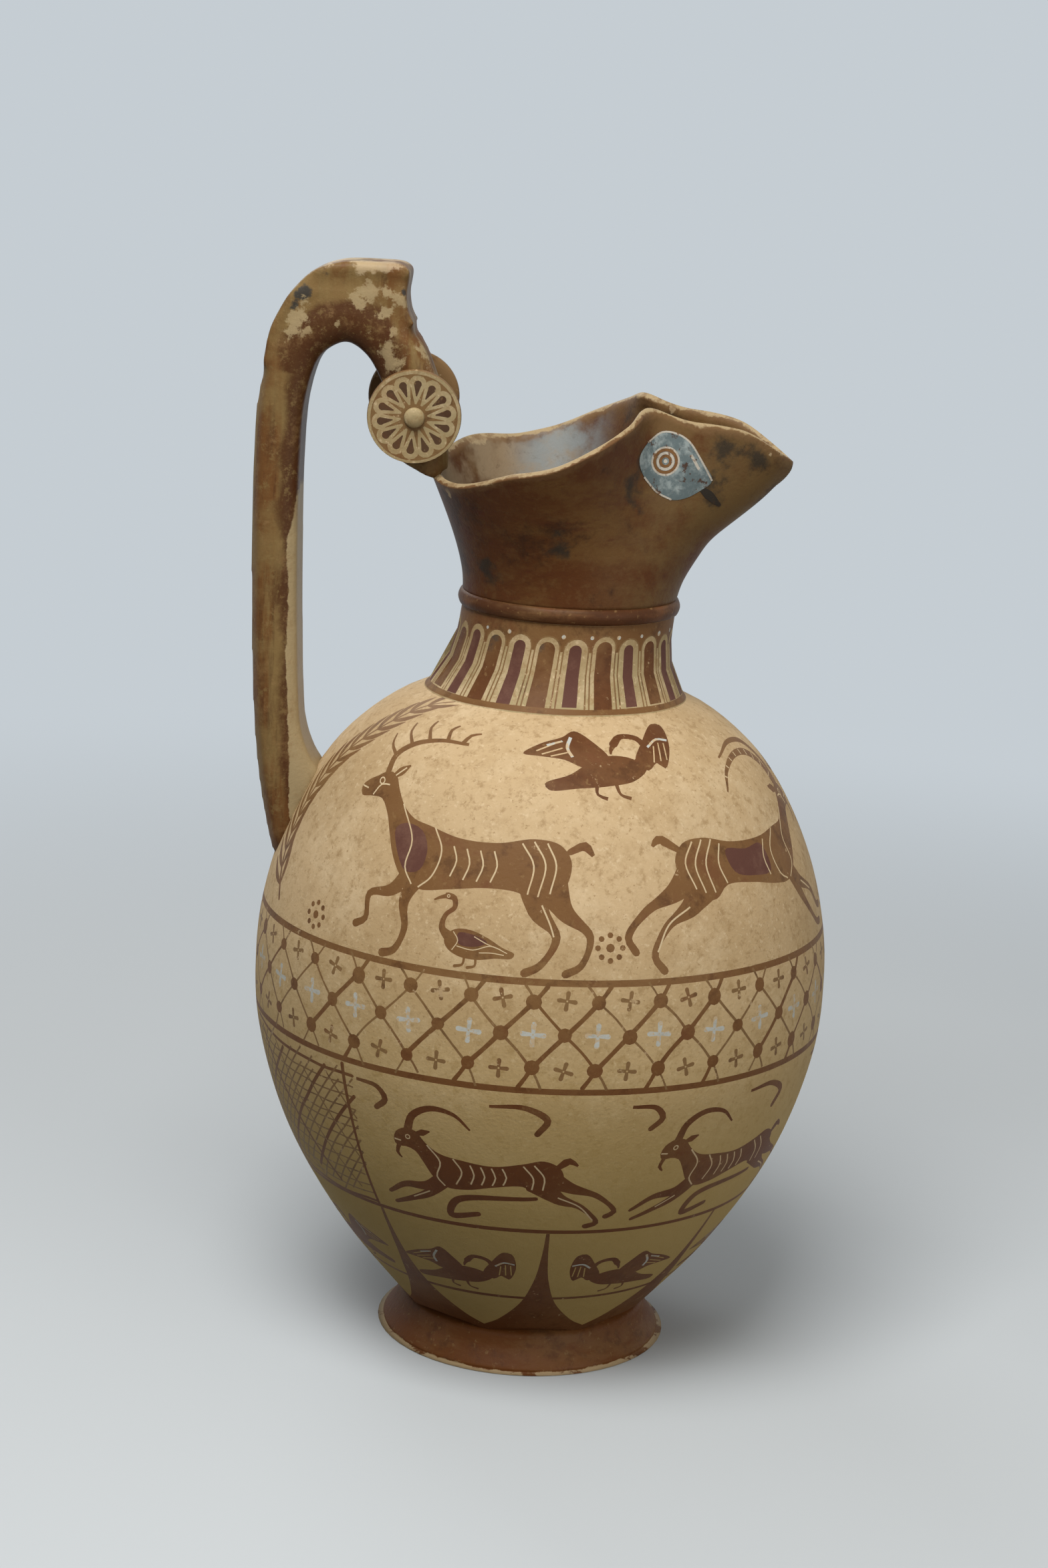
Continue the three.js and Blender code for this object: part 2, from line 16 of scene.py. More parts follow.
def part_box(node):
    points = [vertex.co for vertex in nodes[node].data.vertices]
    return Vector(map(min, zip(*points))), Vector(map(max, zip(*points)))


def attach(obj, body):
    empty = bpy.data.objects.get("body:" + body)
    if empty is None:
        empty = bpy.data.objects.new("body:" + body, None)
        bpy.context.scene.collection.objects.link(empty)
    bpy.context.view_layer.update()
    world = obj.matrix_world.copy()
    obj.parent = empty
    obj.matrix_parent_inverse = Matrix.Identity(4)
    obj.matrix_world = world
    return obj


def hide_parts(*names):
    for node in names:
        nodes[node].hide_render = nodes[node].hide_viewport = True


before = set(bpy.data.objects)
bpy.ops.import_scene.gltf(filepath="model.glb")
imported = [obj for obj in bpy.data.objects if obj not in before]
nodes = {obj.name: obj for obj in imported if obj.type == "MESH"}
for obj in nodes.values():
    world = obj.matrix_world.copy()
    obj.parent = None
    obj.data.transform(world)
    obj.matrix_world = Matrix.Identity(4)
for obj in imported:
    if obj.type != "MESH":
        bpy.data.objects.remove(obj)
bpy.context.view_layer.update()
MM = 0.001


# Colours, linear
CLAY = (0.55, 0.40, 0.228)
CLAY_DEEP = (0.43, 0.295, 0.150)
CLAY_PALE = (0.66, 0.515, 0.325)
CLAY_STAIN = (0.31, 0.195, 0.085)
# painted shade: clay darkened towards the bottom of the pot, where it turns away from the light
CLAY_LOW_SHADE = (0.46, 0.325, 0.112)
SLIP = (0.150, 0.066, 0.023)
SLIP_GOLD = (0.255, 0.150, 0.062)
SLIP_RED = (0.135, 0.043, 0.017)
SLIP_DARK = (0.066, 0.026, 0.011)
# partly painted shade: slip darker and redder towards the bottom
SLIP_LOW_SHADE = (0.125, 0.038, 0.009)
SMOKE = (0.026, 0.031, 0.034)
FIRED_BLUE = (0.048, 0.054, 0.050)
PLUM = (0.112, 0.047, 0.034)
WHITE = (0.50, 0.51, 0.47)
INCISED = (0.60, 0.47, 0.29)

SHEEN = 0.12   # specular level of fired clay and slip


def add_node(tree, kind, inputs=None):
    """A shader node. Each input is set to a value, or linked where it is given another node's output."""
    node = tree.nodes.new("ShaderNode" + kind)
    for socket, value in (inputs or {}).items():
        if isinstance(value, bpy.types.NodeSocket):
            tree.links.new(value, node.inputs[socket])
        else:
            node.inputs[socket].default_value = value
    return node


def smooth_step(tree, value, low, high):
    """0 below low and 1 above high, or the other way round."""
    node = add_node(tree, "MapRange", {"Value": value, "From Min": low, "From Max": high})
    node.interpolation_type = "SMOOTHSTEP"
    return node.outputs["Result"]


class Shading:
    """A Principled material built up layer by layer from noise in the object's own space."""

    def __init__(self, name, base, roughness):
        self.material = bpy.data.materials.new(name)
        self.material.use_nodes = True
        self.tree = self.material.node_tree
        self.bsdf = self.tree.nodes["Principled BSDF"]
        self.place = add_node(self.tree, "TexCoord").outputs["Object"]
        self.bsdf.inputs["Roughness"].default_value = roughness
        self.bsdf.inputs["Specular IOR Level"].default_value = SHEEN
        self.colour = base

    def noise(self, scale, detail=6.0, rough=0.6, stretch=None):
        place = self.place
        if stretch:
            place = add_node(self.tree, "Mapping", {"Scale": stretch, "Vector": place}).outputs["Vector"]
        inputs = {"Scale": scale, "Detail": detail, "Roughness": rough, "Vector": place}
        return add_node(self.tree, "TexNoise", inputs).outputs["Fac"]

    def ramp(self, value, low, high):
        return smooth_step(self.tree, value, low, high)

    def axis(self, name):
        return add_node(self.tree, "SeparateXYZ", {0: self.place}).outputs[name]

    def tag(self, name):
        """A value that the mesh carries at its vertices."""
        node = add_node(self.tree, "Attribute")
        node.attribute_name = name
        return node.outputs["Fac"]

    def math(self, kind, a, b):
        node = add_node(self.tree, "Math", {0: a, 1: b})
        node.operation = kind
        return node.outputs[0]

    def frayed(self, value, scale, amount, detail=8.0):
        """A value with noise added, so that its threshold has a broken edge."""
        spread = self.math("SUBTRACT", self.noise(scale, detail, 0.68), 0.5)
        return self.math("ADD", value, self.math("MULTIPLY", spread, amount))

    def layer(self, mask, colour, strength=1.0):
        """Lay a colour over what is there, where the mask is 1."""
        node = add_node(self.tree, "Mix")
        node.data_type = "RGBA"
        factor = mask if strength == 1.0 else self.math("MULTIPLY", mask, strength)
        self.tree.links.new(factor, node.inputs["Factor"])
        if isinstance(self.colour, tuple):
            node.inputs["A"].default_value = (*self.colour, 1)
        else:
            self.tree.links.new(self.colour, node.inputs["A"])
        node.inputs["B"].default_value = (*colour, 1)
        self.colour = node.outputs["Result"]

    def cloud(self, scale, detail, rough, low, high, colour, strength, stretch=None):
        """Lay a colour over it where noise of a scale passes from low to high."""
        self.layer(self.ramp(self.noise(scale, detail, rough, stretch), low, high), colour, strength)

    def patch(self, tag, scale, amount, low, high, colour, strength, detail=8.0):
        """Lay a colour over it where a tagged value, with a broken edge, passes from low to high."""
        self.layer(self.ramp(self.frayed(self.tag(tag), scale, amount, detail), low, high), colour, strength)

    def both(self, a, b):
        """The mask where two masks meet."""
        return self.math("MULTIPLY", a, b)

    def grain(self, scale=1000.0, depth=0.0004):
        """Fine relief from two sizes of noise."""
        height = self.math("ADD", self.noise(scale, 4.0), self.noise(scale * 0.16, 5.0))
        bump = add_node(self.tree, "Bump", {"Strength": 0.3, "Distance": depth, "Height": height})
        self.tree.links.new(bump.outputs["Normal"], self.bsdf.inputs["Normal"])

    def clay(self):
        """The clouds, stains and specks of bare fired clay, with painted shade darkening it towards the
        bottom.
        """
        self.cloud(15, 3, 0.6, 0.42, 0.62, CLAY_DEEP, 0.6)
        self.cloud(46, 6, 0.7, 0.48, 0.68, CLAY_PALE, 0.5)
        self.cloud(90, 9, 0.8, 0.50, 0.68, CLAY_STAIN, 0.36)
        self.cloud(330, 6, 0.75, 0.50, 0.66, CLAY_STAIN, 0.6)
        self.cloud(640, 4, 0.7, 0.56, 0.68, CLAY_PALE, 0.6)
        self.cloud(900, 3, 0.6, 0.64, 0.70, CLAY_STAIN, 0.7)
        # painted shade: the clay darkens towards the bottom
        self.layer(self.ramp(self.axis("Z"), 0.155, 0.05), CLAY_LOW_SHADE, 0.85)

    def slip(self, thin, streak=None):
        """Slip thin and golden in places, thick and dark in others, brushed round the pot."""
        self.cloud(30, 5, 0.65, 0.44, 0.66, SLIP_GOLD, thin, streak)
        self.cloud(60, 6, 0.7, 0.50, 0.68, SLIP_RED, 0.6, streak)
        self.cloud(150, 6, 0.72, 0.50, 0.66, SLIP_DARK, 0.5)
        self.cloud(520, 4, 0.6, 0.60, 0.70, SLIP_GOLD, 0.55)

    def finish(self, scale=1000.0, depth=0.0004):
        """Join the colour and the grain to the shader, and give the material."""
        self.grain(scale, depth)
        self.tree.links.new(self.colour, self.bsdf.inputs["Base Color"])
        return self.material


ROUND = (1.0, 1.0, 3.5)    # stretch of noise that runs round the pot
BRUSHED = (900.0, 0.0003)  # scale and depth of the grain on brushed slip


def clay_material(name, base=CLAY, roughness=0.66):
    m = Shading(name, base, roughness)
    m.clay()
    return m.finish()


def painted_slip(name, base=SLIP, thin=0.55, shade=0.4, worn=0.0, stained=False):
    """Slip of the painted figures: darker and redder low on the pot, partly painted shade, stained blue-black
    in patches by the fire.
    """
    m = Shading(name, base, 0.5)
    m.slip(thin)
    # partly painted shade: the slip turns darker and redder towards the bottom
    m.layer(m.ramp(m.axis("Z"), 0.15, 0.06), SLIP_LOW_SHADE, shade)
    if stained:
        high_up = m.ramp(m.axis("Z"), 0.165, 0.185)
        stain = m.ramp(m.frayed(m.noise(21.0, 3.0), 120.0, 0.35), 0.60, 0.68)
        m.layer(m.both(stain, high_up), FIRED_BLUE, 0.75)
    m.cloud(210, 9, 0.75, 0.635 - worn, 0.665 - worn, CLAY, 0.75)
    return m.finish(*BRUSHED)


def added_colour(name, colour, other, roughness=0.62, scale=90.0, gone=None, under=CLAY):
    """Chalky added colour, uneven and rubbed, in places down to what lies under it."""
    m = Shading(name, colour, roughness)
    m.cloud(scale, 7, 0.7, 0.46, 0.66, other, 0.7)
    if gone:
        m.cloud(330, 6, 0.7, gone, gone + 0.05, under, 0.85)
    return m.finish(*BRUSHED)


paint = {
    "clay": clay_material("clay"),
    "slip": painted_slip("slip", (0.180, 0.088, 0.032), 0.55, 0.8),
    "dark": painted_slip("slip_dark", (0.118, 0.045, 0.016), 0.55, stained=True),
    "heart": painted_slip("slip_heart", (0.088, 0.048, 0.027), 0.25, 0.0),
    # clay toned darker as painted shade, for the neck under the mouth; the discs' rims, petals and bosses use
    # it too
    "shaded_clay": clay_material("clay_in_shade", (0.365, 0.288, 0.152)),
    "wash": painted_slip("slip_wash", (0.215, 0.125, 0.052), 0.6, 0.0, 0.05),
    "plum": added_colour("added_red", PLUM, (0.17, 0.085, 0.058)),
    "white": added_colour("added_white", WHITE, (0.40, 0.38, 0.31), 0.8, 300.0, 0.50),
    "blue": added_colour("added_blue_grey", (0.12, 0.155, 0.16), (0.37, 0.42, 0.41), 0.7, 190.0, 0.57,
                         SLIP_DARK),
    "chalk": added_colour("added_chalk", (0.50, 0.46, 0.39), (0.30, 0.27, 0.22), 0.8, 300.0, 0.56, SLIP),
    "smear": added_colour("smoke_smear", (0.030, 0.024, 0.018), (0.060, 0.035, 0.020), 0.6, 300.0),
    "line": added_colour("incised", INCISED, CLAY, 0.7),
}
PAINTS = list(paint)


# Brush strokes and figures, flat, in millimetres


def spline(points, closed=False, step=1.0):
    """Centripetal Catmull-Rom curve through the points, sampled about every step."""
    pts = [tuple(map(float, p)) for p in points]
    if closed:
        pts = [pts[-1]] + pts + [pts[0], pts[1]]
    else:
        pts = [tuple(2 * a - b for a, b in zip(pts[0], pts[1]))] + pts + [
            tuple(2 * a - b for a, b in zip(pts[-1], pts[-2]))]
    out = []
    for p0, p1, p2, p3 in zip(pts, pts[1:], pts[2:], pts[3:]):
        gaps = [max(math.dist(a, b) ** 0.5, 1e-6) for a, b in ((p0, p1), (p1, p2), (p2, p3))]
        n = max(1, round(math.dist(p1, p2) / step))
        for k in range(n):
            out.append(spline_point(p0, p1, p2, p3, gaps, k / n))
    if not closed:
        out.append(pts[-2])
    return out


def spline_point(p0, p1, p2, p3, gaps, t):
    g0, g1, g2 = gaps
    point = []
    for a, b, c, d in zip(p0, p1, p2, p3):
        m1 = g1 * ((b - a) / g0 - (c - a) / (g0 + g1) + (c - b) / g1)
        m2 = g1 * ((c - b) / g1 - (d - b) / (g1 + g2) + (d - c) / g2)
        point.append(b + m1 * t + (3 * (c - b) - 2 * m1 - m2) * t * t + (2 * (b - c) + m1 + m2) * t ** 3)
    return tuple(point)


def stroke(points, widths, step=1.0, closed=False):
    """Outline of a brush stroke along a curve: width runs evenly through the given widths."""
    line = spline(points, closed, step)
    if closed:
        line.append(line[0])
    run = [0.0]
    for a, b in zip(line, line[1:]):
        run.append(run[-1] + math.dist(a, b))
    if isinstance(widths, (int, float)):
        widths = [widths, widths]
    left, right = [], []
    for i, (x, y) in enumerate(line):
        a, b = line[max(i - 1, 0)], line[min(i + 1, len(line) - 1)]
        length = math.dist(a, b) or 1.0
        nx, ny = (a[1] - b[1]) / length, (b[0] - a[0]) / length
        share = run[i] / run[-1] * (len(widths) - 1)
        k = min(int(share), len(widths) - 2)
        half = (widths[k] + (widths[k + 1] - widths[k]) * (share - k)) / 2
        left.append((x + nx * half, y + ny * half))
        right.append((x - nx * half, y - ny * half))
    end_cap = cap_points(line[-1], left[-1], right[-1]) if widths[-1] > 1.0 else []
    start_cap = cap_points(line[0], right[0], left[0]) if widths[0] > 1.0 else []
    return left + end_cap + right[::-1] + start_cap


def cap_points(centre, a, b, n=4):
    """Round end of a stroke, from a to b about the centre."""
    cx, cy = centre
    start = math.atan2(a[1] - cy, a[0] - cx)
    r = math.dist(a, centre)
    return [(cx + r * math.cos(start - math.pi * k / n), cy + r * math.sin(start - math.pi * k / n))
            for k in range(1, n)]


def ring(x, y, r, w, n=10):
    return stroke(dot(x, y, r, n), w, step=0.6, closed=True)


def dot(x, y, r, n=12, squash=1.0):
    angles = [2 * math.pi * k / n for k in range(n)]
    return [(x + r * math.cos(a), y + r * squash * math.sin(a)) for a in angles]


def figure(paint_name, body, limbs, cuts, patch=None, eye=None, step=1.2, patch_step=1.4, cut_width=0.36):
    """A filled body with brushed limbs, a patch of added red, incised cuts and a ringed eye."""
    parts = [(paint_name, spline(body, True, step))]
    parts += [(paint_name, stroke(points, widths, *(own or [step]))) for points, widths, *own in limbs]
    if patch:
        parts.append(("plum", spline(patch, True, patch_step)))
    parts += [("line", stroke(cut, cut_width, 1.2)) for cut in cuts]
    if eye:
        parts.append(("line", ring(*eye)))
    return parts


def stag():
    """A grazing stag with branched antlers."""
    body = [(-36.2, 36.2), (-34.6, 38), (-31.6, 39.8), (-28.6, 41.6), (-25.8, 41.2), (-23.8, 38.2),
            (-21.2, 34.6), (-17.6, 32), (-13, 31), (-5, 29.2), (4, 29.2), (12, 30.8), (17.8, 29.8),
            (21, 26.2), (21.2, 21.6), (19, 17), (14.6, 15.8), (10.4, 18.2), (3, 18.6), (-6, 17.2),
            (-13.2, 16.2), (-18.2, 18.2), (-21.6, 22.8), (-23.6, 27.4), (-25.6, 31.8), (-28.4, 34.8),
            (-32.2, 34.6), (-35.4, 34.2)]
    limbs = [([(-13, 21), (-16.4, 12.8), (-15.4, 6.8), (-17.6, 1.6), (-20.6, 0.4)], [6, 3.4, 1.9, 1.4, 2]),
             ([(-15, 20), (-20.2, 14.8), (-26.2, 12.8), (-26.4, 7.2), (-29.2, 5.4)],
              [5.4, 3.2, 1.8, 1.3, 1.8]),
             ([(14, 22), (15.4, 14.6), (20.2, 8.6), (17.2, 2.2), (14, 0.4)], [10, 5.2, 2.2, 1.5, 2]),
             ([(17, 21), (21.4, 14.4), (27.8, 9), (26.4, 2.4), (23.2, 0.6)], [8, 4.4, 2, 1.4, 1.9]),
             ([(20.4, 28.2), (23.4, 29.6), (25.8, 27.4)], [1.6, 2.2, 0.8]),
             ([(-26.6, 40.6), (-22.4, 44.4)], [1.2, 2.4, 0.4])]
    beam = [(-28.8, 41.2), (-28.2, 46), (-23.4, 50.4), (-16, 53), (-8.8, 53.2)]
    tines = [[(-28.2, 46), (-31, 48.6), (-31.2, 51.6)], [(-24.4, 49.8), (-26.6, 53.4), (-26, 56.2)],
             [(-19.6, 52.2), (-20.8, 56), (-19.6, 58.4)], [(-14.6, 53.2), (-14.6, 56.6), (-12.8, 58.4)],
             [(-10.4, 53.4), (-9, 56), (-6.6, 57)]]
    limbs += [(beam, [1.8, 1.5, 1.2, 0.9])] + [(tine, [1.2, 0.9, 0.5]) for tine in tines]
    patch = [(-22, 29), (-19.2, 30.6), (-14.8, 29.6), (-12.6, 25.6), (-13.6, 20.6), (-17.2, 19.6),
             (-20.2, 23.2)]
    cuts = [[(-21.4, 34.8), (-17, 27), (-17.6, 20.6), (-15.2, 17)],
            [(-11.6, 30.8), (-9, 25.8), (-10.4, 19.6), (-13.4, 16.6)], [(-6.2, 27.2), (-5, 24), (-6, 20.2)],
            [(-3, 27), (-1.8, 23.6), (-2.8, 19.8)], [(0.2, 27), (1.4, 23.6), (0.4, 19.8)],
            [(3.4, 27.2), (4.6, 23.8), (3.6, 20)], [(9.4, 29.6), (12.8, 24.6), (12.4, 18)],
            [(12, 30.2), (15.4, 25), (14.8, 17.6)], [(15, 30), (17.8, 25), (17.4, 18.4)],
            [(16, 15.8), (18.6, 11.2), (19.6, 8.8)], [(-31.6, 35), (-29.6, 38), (-27, 38.4)],
            [(-36, 36.4), (-33.8, 36.2)], [(-26, 41), (-23.4, 43.6)]]
    return figure("slip", body, limbs, cuts, patch, (-29.8, 38.9, 0.8, 0.35))


def ibex():
    """A wild goat at full run, with ridged horns."""
    body = [(-33.4, 30.6), (-31.8, 33), (-28.6, 34.8), (-25.6, 34.4), (-22.6, 31), (-18.8, 28), (-13.6, 27.4),
            (-6, 26.4), (4, 26.8), (12, 28.6), (17.4, 27.8), (20.6, 24), (20, 19.4), (16.8, 15.6), (12.6, 15),
            (8.6, 17.6), (0, 17), (-8, 15.4), (-14.4, 15), (-18.4, 17), (-21.4, 21.2), (-23.8, 25.4),
            (-26.6, 28.4), (-29.8, 29), (-32.6, 28.8)]
    limbs = [([(-14, 19), (-20.2, 13.6), (-26.8, 10.4), (-31.6, 5.6), (-34.6, 5)], [6, 3.4, 1.9, 1.3, 1.8]),
             ([(-15, 19), (-19, 11.6), (-23.8, 6.4), (-29.2, 2.2), (-32.2, 1.8)], [5.4, 3.2, 1.8, 1.3, 1.8]),
             ([(14, 20), (19.6, 14.2), (26.4, 10.2), (30.4, 4), (28.6, 1)], [10, 5, 2.1, 1.4, 1.9]),
             ([(16, 22), (22.8, 17.4), (30.4, 13.8), (35.8, 8.2), (34.6, 5.2)], [8, 4.6, 2, 1.4, 1.8]),
             ([(19, 26.6), (22.8, 29), (24.8, 27.6)], [1.6, 2.4, 0.6]),
             ([(-25.4, 33.6), (-20.6, 35.4)], [1, 2.2, 0.4]),
             ([(-32, 29), (-32.6, 26.4), (-31.4, 24.6)], [1.4, 1.2, 0.4])]
    horn = [(-27.6, 34.4), (-25.8, 40), (-20, 44.6), (-12, 45.4), (-5, 42.2), (-1.6, 37.6)]
    far_horn = [(-29.4, 34.6), (-28.6, 40.6), (-23.4, 46.8), (-14, 48.8), (-5.6, 46)]
    limbs += [(horn, [2.6, 2.3, 1.8, 1.3, 0.5]), (far_horn, [2, 1.7, 1.3, 0.5])]
    patch = [(-6, 24.8), (0, 24.6), (6.4, 25.2), (5.4, 20.2), (-1, 18.4), (-7.4, 18.6)]
    cuts = [[(-21.6, 30.4), (-17.2, 24.2), (-18.4, 18.4), (-15.6, 15.4)],
            [(-12.6, 27.2), (-9.4, 22.6), (-11.2, 17), (-14, 15.4)],
            [(-7.4, 25.6), (-5.8, 21.6), (-6.8, 17.6)], [(7.6, 26.8), (9.4, 22.4), (8.4, 18)],
            [(9.6, 28), (13, 22.6), (12.4, 16.4)], [(12.2, 28.2), (15.8, 22.8), (15, 16.6)],
            [(14.8, 28), (18.2, 23.4), (17.2, 17.6)], [(20, 14), (26, 10.6), (29.6, 5)],
            [(-21, 13.4), (-26.4, 10.4)], [(-29.4, 29.4), (-27.6, 32), (-25, 32.2)],
            [(-33.2, 30.8), (-31, 30.6)]]
    parts = figure("slip", body, limbs, cuts, patch)
    for k in range(9):
        share = 0.08 + 0.1 * k
        x, y = at_share(horn, share)
        x2, y2 = at_share(horn, share + 0.02)
        n = math.dist((x, y), (x2, y2))
        ux, uy = (y - y2) / n, (x2 - x) / n
        r = 1.1 - 0.09 * k
        parts.append(("line", stroke([(x - ux * r, y - uy * r), (x + ux * r, y + uy * r)], 0.34, 0.8)))
    return parts + [("line", ring(-28.2, 32.4, 0.75, 0.35))]


def at_share(points, share):
    """The point a share of the way along a curve."""
    line = spline(points, False, 0.8)
    run = [0]
    for a, b in zip(line, line[1:]):
        run.append(run[-1] + math.dist(a, b))
    goal = run[-1] * share
    for i in range(len(line) - 1):
        if run[i + 1] >= goal:
            f = (goal - run[i]) / (run[i + 1] - run[i])
            return tuple(p + (q - p) * f for p, q in zip(line[i], line[i + 1]))
    return line[-1]


def lion():
    """A walking lion."""
    body = [(-30.6, 24.2), (-31.6, 27), (-29.4, 30.2), (-25.4, 31.6), (-21.6, 30.6), (-18.6, 27.4), (-13, 25),
            (-5, 22.6), (4, 22), (11, 23.4), (16, 24.4), (20, 22.6), (21.6, 18.6), (20, 14.2), (15.6, 11.8),
            (11.4, 13.4), (6, 15.6), (-3, 14), (-11, 12), (-16.4, 12), (-20.4, 15.4), (-22.4, 20),
            (-25.2, 22.2), (-27.6, 22.4), (-26.4, 24.6), (-29.2, 24.2)]
    limbs = [([(-15, 16), (-20.6, 9.6), (-24, 4.6), (-28.2, 1.8), (-31.4, 1.4)], [7, 3.8, 2.6, 2.2, 3]),
             ([(-14, 15), (-14.6, 8.6), (-16.2, 4.4), (-18.6, 1.6), (-21.8, 1.4)], [6.4, 3.6, 2.6, 2.2, 3]),
             ([(15, 18), (17.6, 11.6), (22.8, 7.4), (19.8, 2.2), (15.6, 1.4)], [10, 5.6, 2.8, 2.2, 3]),
             ([(17, 18), (24, 12.6), (30, 8.8), (29, 2.6), (25.4, 1.4)], [8.4, 4.8, 2.6, 2.2, 3]),
             ([(20.2, 21.8), (26.6, 21.4), (32.8, 16.6), (37.6, 17.4), (39, 22.4), (36, 24.8)],
              [1.9, 1.6, 1.5, 1.4, 1.3, 1.8]),
             ([(36.6, 24), (34.6, 26.4), (33, 25.4)], [1.6, 2.6, 0.6]),
             ([(-23, 31), (-21.6, 33.2)], [2, 2.4, 0.8]),
             ([(-26.4, 22.6), (-29, 20.6), (-30.6, 21)], [2.2, 1.8, 1])]
    patch = [(-24.4, 29.6), (-20.6, 28.8), (-17, 25.6), (-15.8, 20.4), (-17.8, 15.6), (-20.6, 17.6),
             (-21.8, 22.4), (-24.2, 25.6)]
    cuts = [[(-25.2, 31), (-22.8, 27.2), (-22.2, 22.6), (-21, 17)],
            [(-16, 26), (-13.6, 20.6), (-15.2, 14.8), (-18.2, 12.8)],
            [(-11.4, 23.6), (-9.2, 19), (-10.4, 14)], [(-6, 21.4), (-4.8, 18.4), (-5.8, 15)],
            [(-2.6, 20.8), (-1.4, 17.8), (-2.4, 14.8)], [(0.8, 20.8), (2, 18), (1, 15.2)],
            [(9.6, 22.8), (13, 18), (12.6, 13.6)], [(12.4, 23.6), (15.8, 18.4), (15.4, 12.8)],
            [(15.2, 23.8), (18.4, 18.8), (18, 13.4)], [(17.8, 11.6), (21.8, 8), (20.4, 4)],
            [(-19.8, 10.4), (-23.4, 5.4), (-27.4, 2.4)], [(-29.8, 26), (-27, 26.4)],
            [(-24.4, 31), (-22.6, 32)]]
    return figure("slip", body, limbs, cuts, patch, (-27.4, 28.2, 0.8, 0.35))


def goose():
    """A standing goose."""
    body = [(-9, 12.2), (-6, 14.6), (0, 15), (7, 12.8), (13.6, 9.4), (18.4, 7.4), (17.6, 5.6), (11, 5),
            (4, 3.8), (-3, 4.2), (-8.2, 6.6), (-10, 9.6)]
    neck = [(-7.2, 10.6), (-11.4, 14.4), (-10.6, 19.4), (-7.2, 23), (-8, 26.4), (-10.8, 27)]
    limbs = [(neck, [5, 3, 2, 1.8, 2.2, 2.6]), ([(-11.2, 26.8), (-14, 25.8), (-16.2, 24.6)], [1.8, 1.3, 0.6]),
             ([(-1, 5), (-1.6, 1.4), (-4.6, 0.4)], [1.1, 0.9, 1.3], 1),
             ([(3.4, 4.8), (3.4, 1.4), (0.6, 0.4)], [1.1, 0.9, 1.3], 1)]
    patch = [(-4.6, 13.2), (1, 13.4), (7.4, 10.8), (2, 8.6), (-4, 9.2)]
    cuts = [[(-6.6, 13.6), (-4.4, 10.4), (-6.4, 6.4)], [(-4.6, 8.2), (2, 7.4), (9, 9.6), (15.6, 7.4)],
            [(2, 12.6), (7.6, 10.2), (13, 8.6)], [(4.6, 6.6), (9.6, 7), (14.4, 6.6)]]
    return figure("slip", body, limbs, cuts, patch, (-10.4, 26.9, 0.55, 0.3, 8), 1.1, 1.2)


def goat():
    """Small running goat for the narrow frieze."""
    body = [(-25.2, 22.2), (-24.6, 24.6), (-22, 26.2), (-19.4, 25.8), (-16.8, 23), (-13.4, 20.6), (-7, 19.4),
            (0, 18.8), (7, 20.2), (12.2, 21.4), (16, 19.4), (16.8, 15.6), (14.2, 12), (10.6, 11.4), (7, 13.4),
            (0, 12.4), (-6, 10.8), (-11.2, 10.6), (-14.6, 13), (-17.2, 17), (-19.4, 20), (-21.8, 20.8),
            (-24.2, 20.6)]
    limbs = [([(-11, 14), (-16.6, 10), (-22.4, 9), (-26.8, 5.4)], [5, 2.9, 1.9, 1.2]),
             ([(-12, 13), (-16, 7.8), (-20.6, 4.8), (-25.2, 2.2)], [4.6, 2.8, 1.8, 1.2]),
             ([(11, 15), (15.6, 10), (21, 7.2), (24.6, 1.8), (22, 0.6)], [8, 4.2, 2, 1.3, 1.7]),
             ([(12, 17), (18.6, 13.4), (25, 10.8), (29.2, 5.4), (27, 3.8)], [7, 3.8, 1.9, 1.3, 1.6]),
             ([(15.4, 19.6), (18.2, 21.6), (20.2, 20.2)], [1.4, 2.2, 0.6]),
             ([(-19.4, 25), (-15.6, 26.4)], [0.9, 1.9, 0.4]),
             ([(-23.8, 20.8), (-24.2, 18.6), (-23, 17.2)], [1.2, 1, 0.4])]
    horn = [(-21.4, 25.8), (-20.2, 30), (-15.6, 32.8), (-9.6, 32), (-5.6, 28.4)]
    limbs.append((horn, [2.2, 1.9, 1.5, 1, 0.5]))
    cuts = [[(-16.4, 22.4), (-13, 18), (-13.8, 13.6), (-11.8, 11)], [(-9.8, 19.6), (-7.6, 16), (-9, 12)],
            [(-5.6, 18.4), (-4.6, 15.6), (-5.4, 12.6)], [(-3, 18.2), (-2, 15.4), (-2.8, 12.8)],
            [(-0.4, 18.2), (0.6, 15.4), (-0.2, 13)], [(2.2, 18.4), (3.2, 15.8), (2.4, 13.4)],
            [(7.2, 19.6), (9.6, 16), (9.2, 12.6)], [(9.8, 20), (12.2, 16.4), (11.8, 12.6)],
            [(15.4, 10.4), (20.6, 7.4), (23.8, 2.6)], [(-15.8, 8.4), (-20.2, 5.4)],
            [(-25, 22.4), (-23.2, 22.2)]]
    return figure("dark", body, limbs, cuts, None, (-21.4, 23.7, 0.6, 0.3, 8), 1.1, cut_width=0.38)


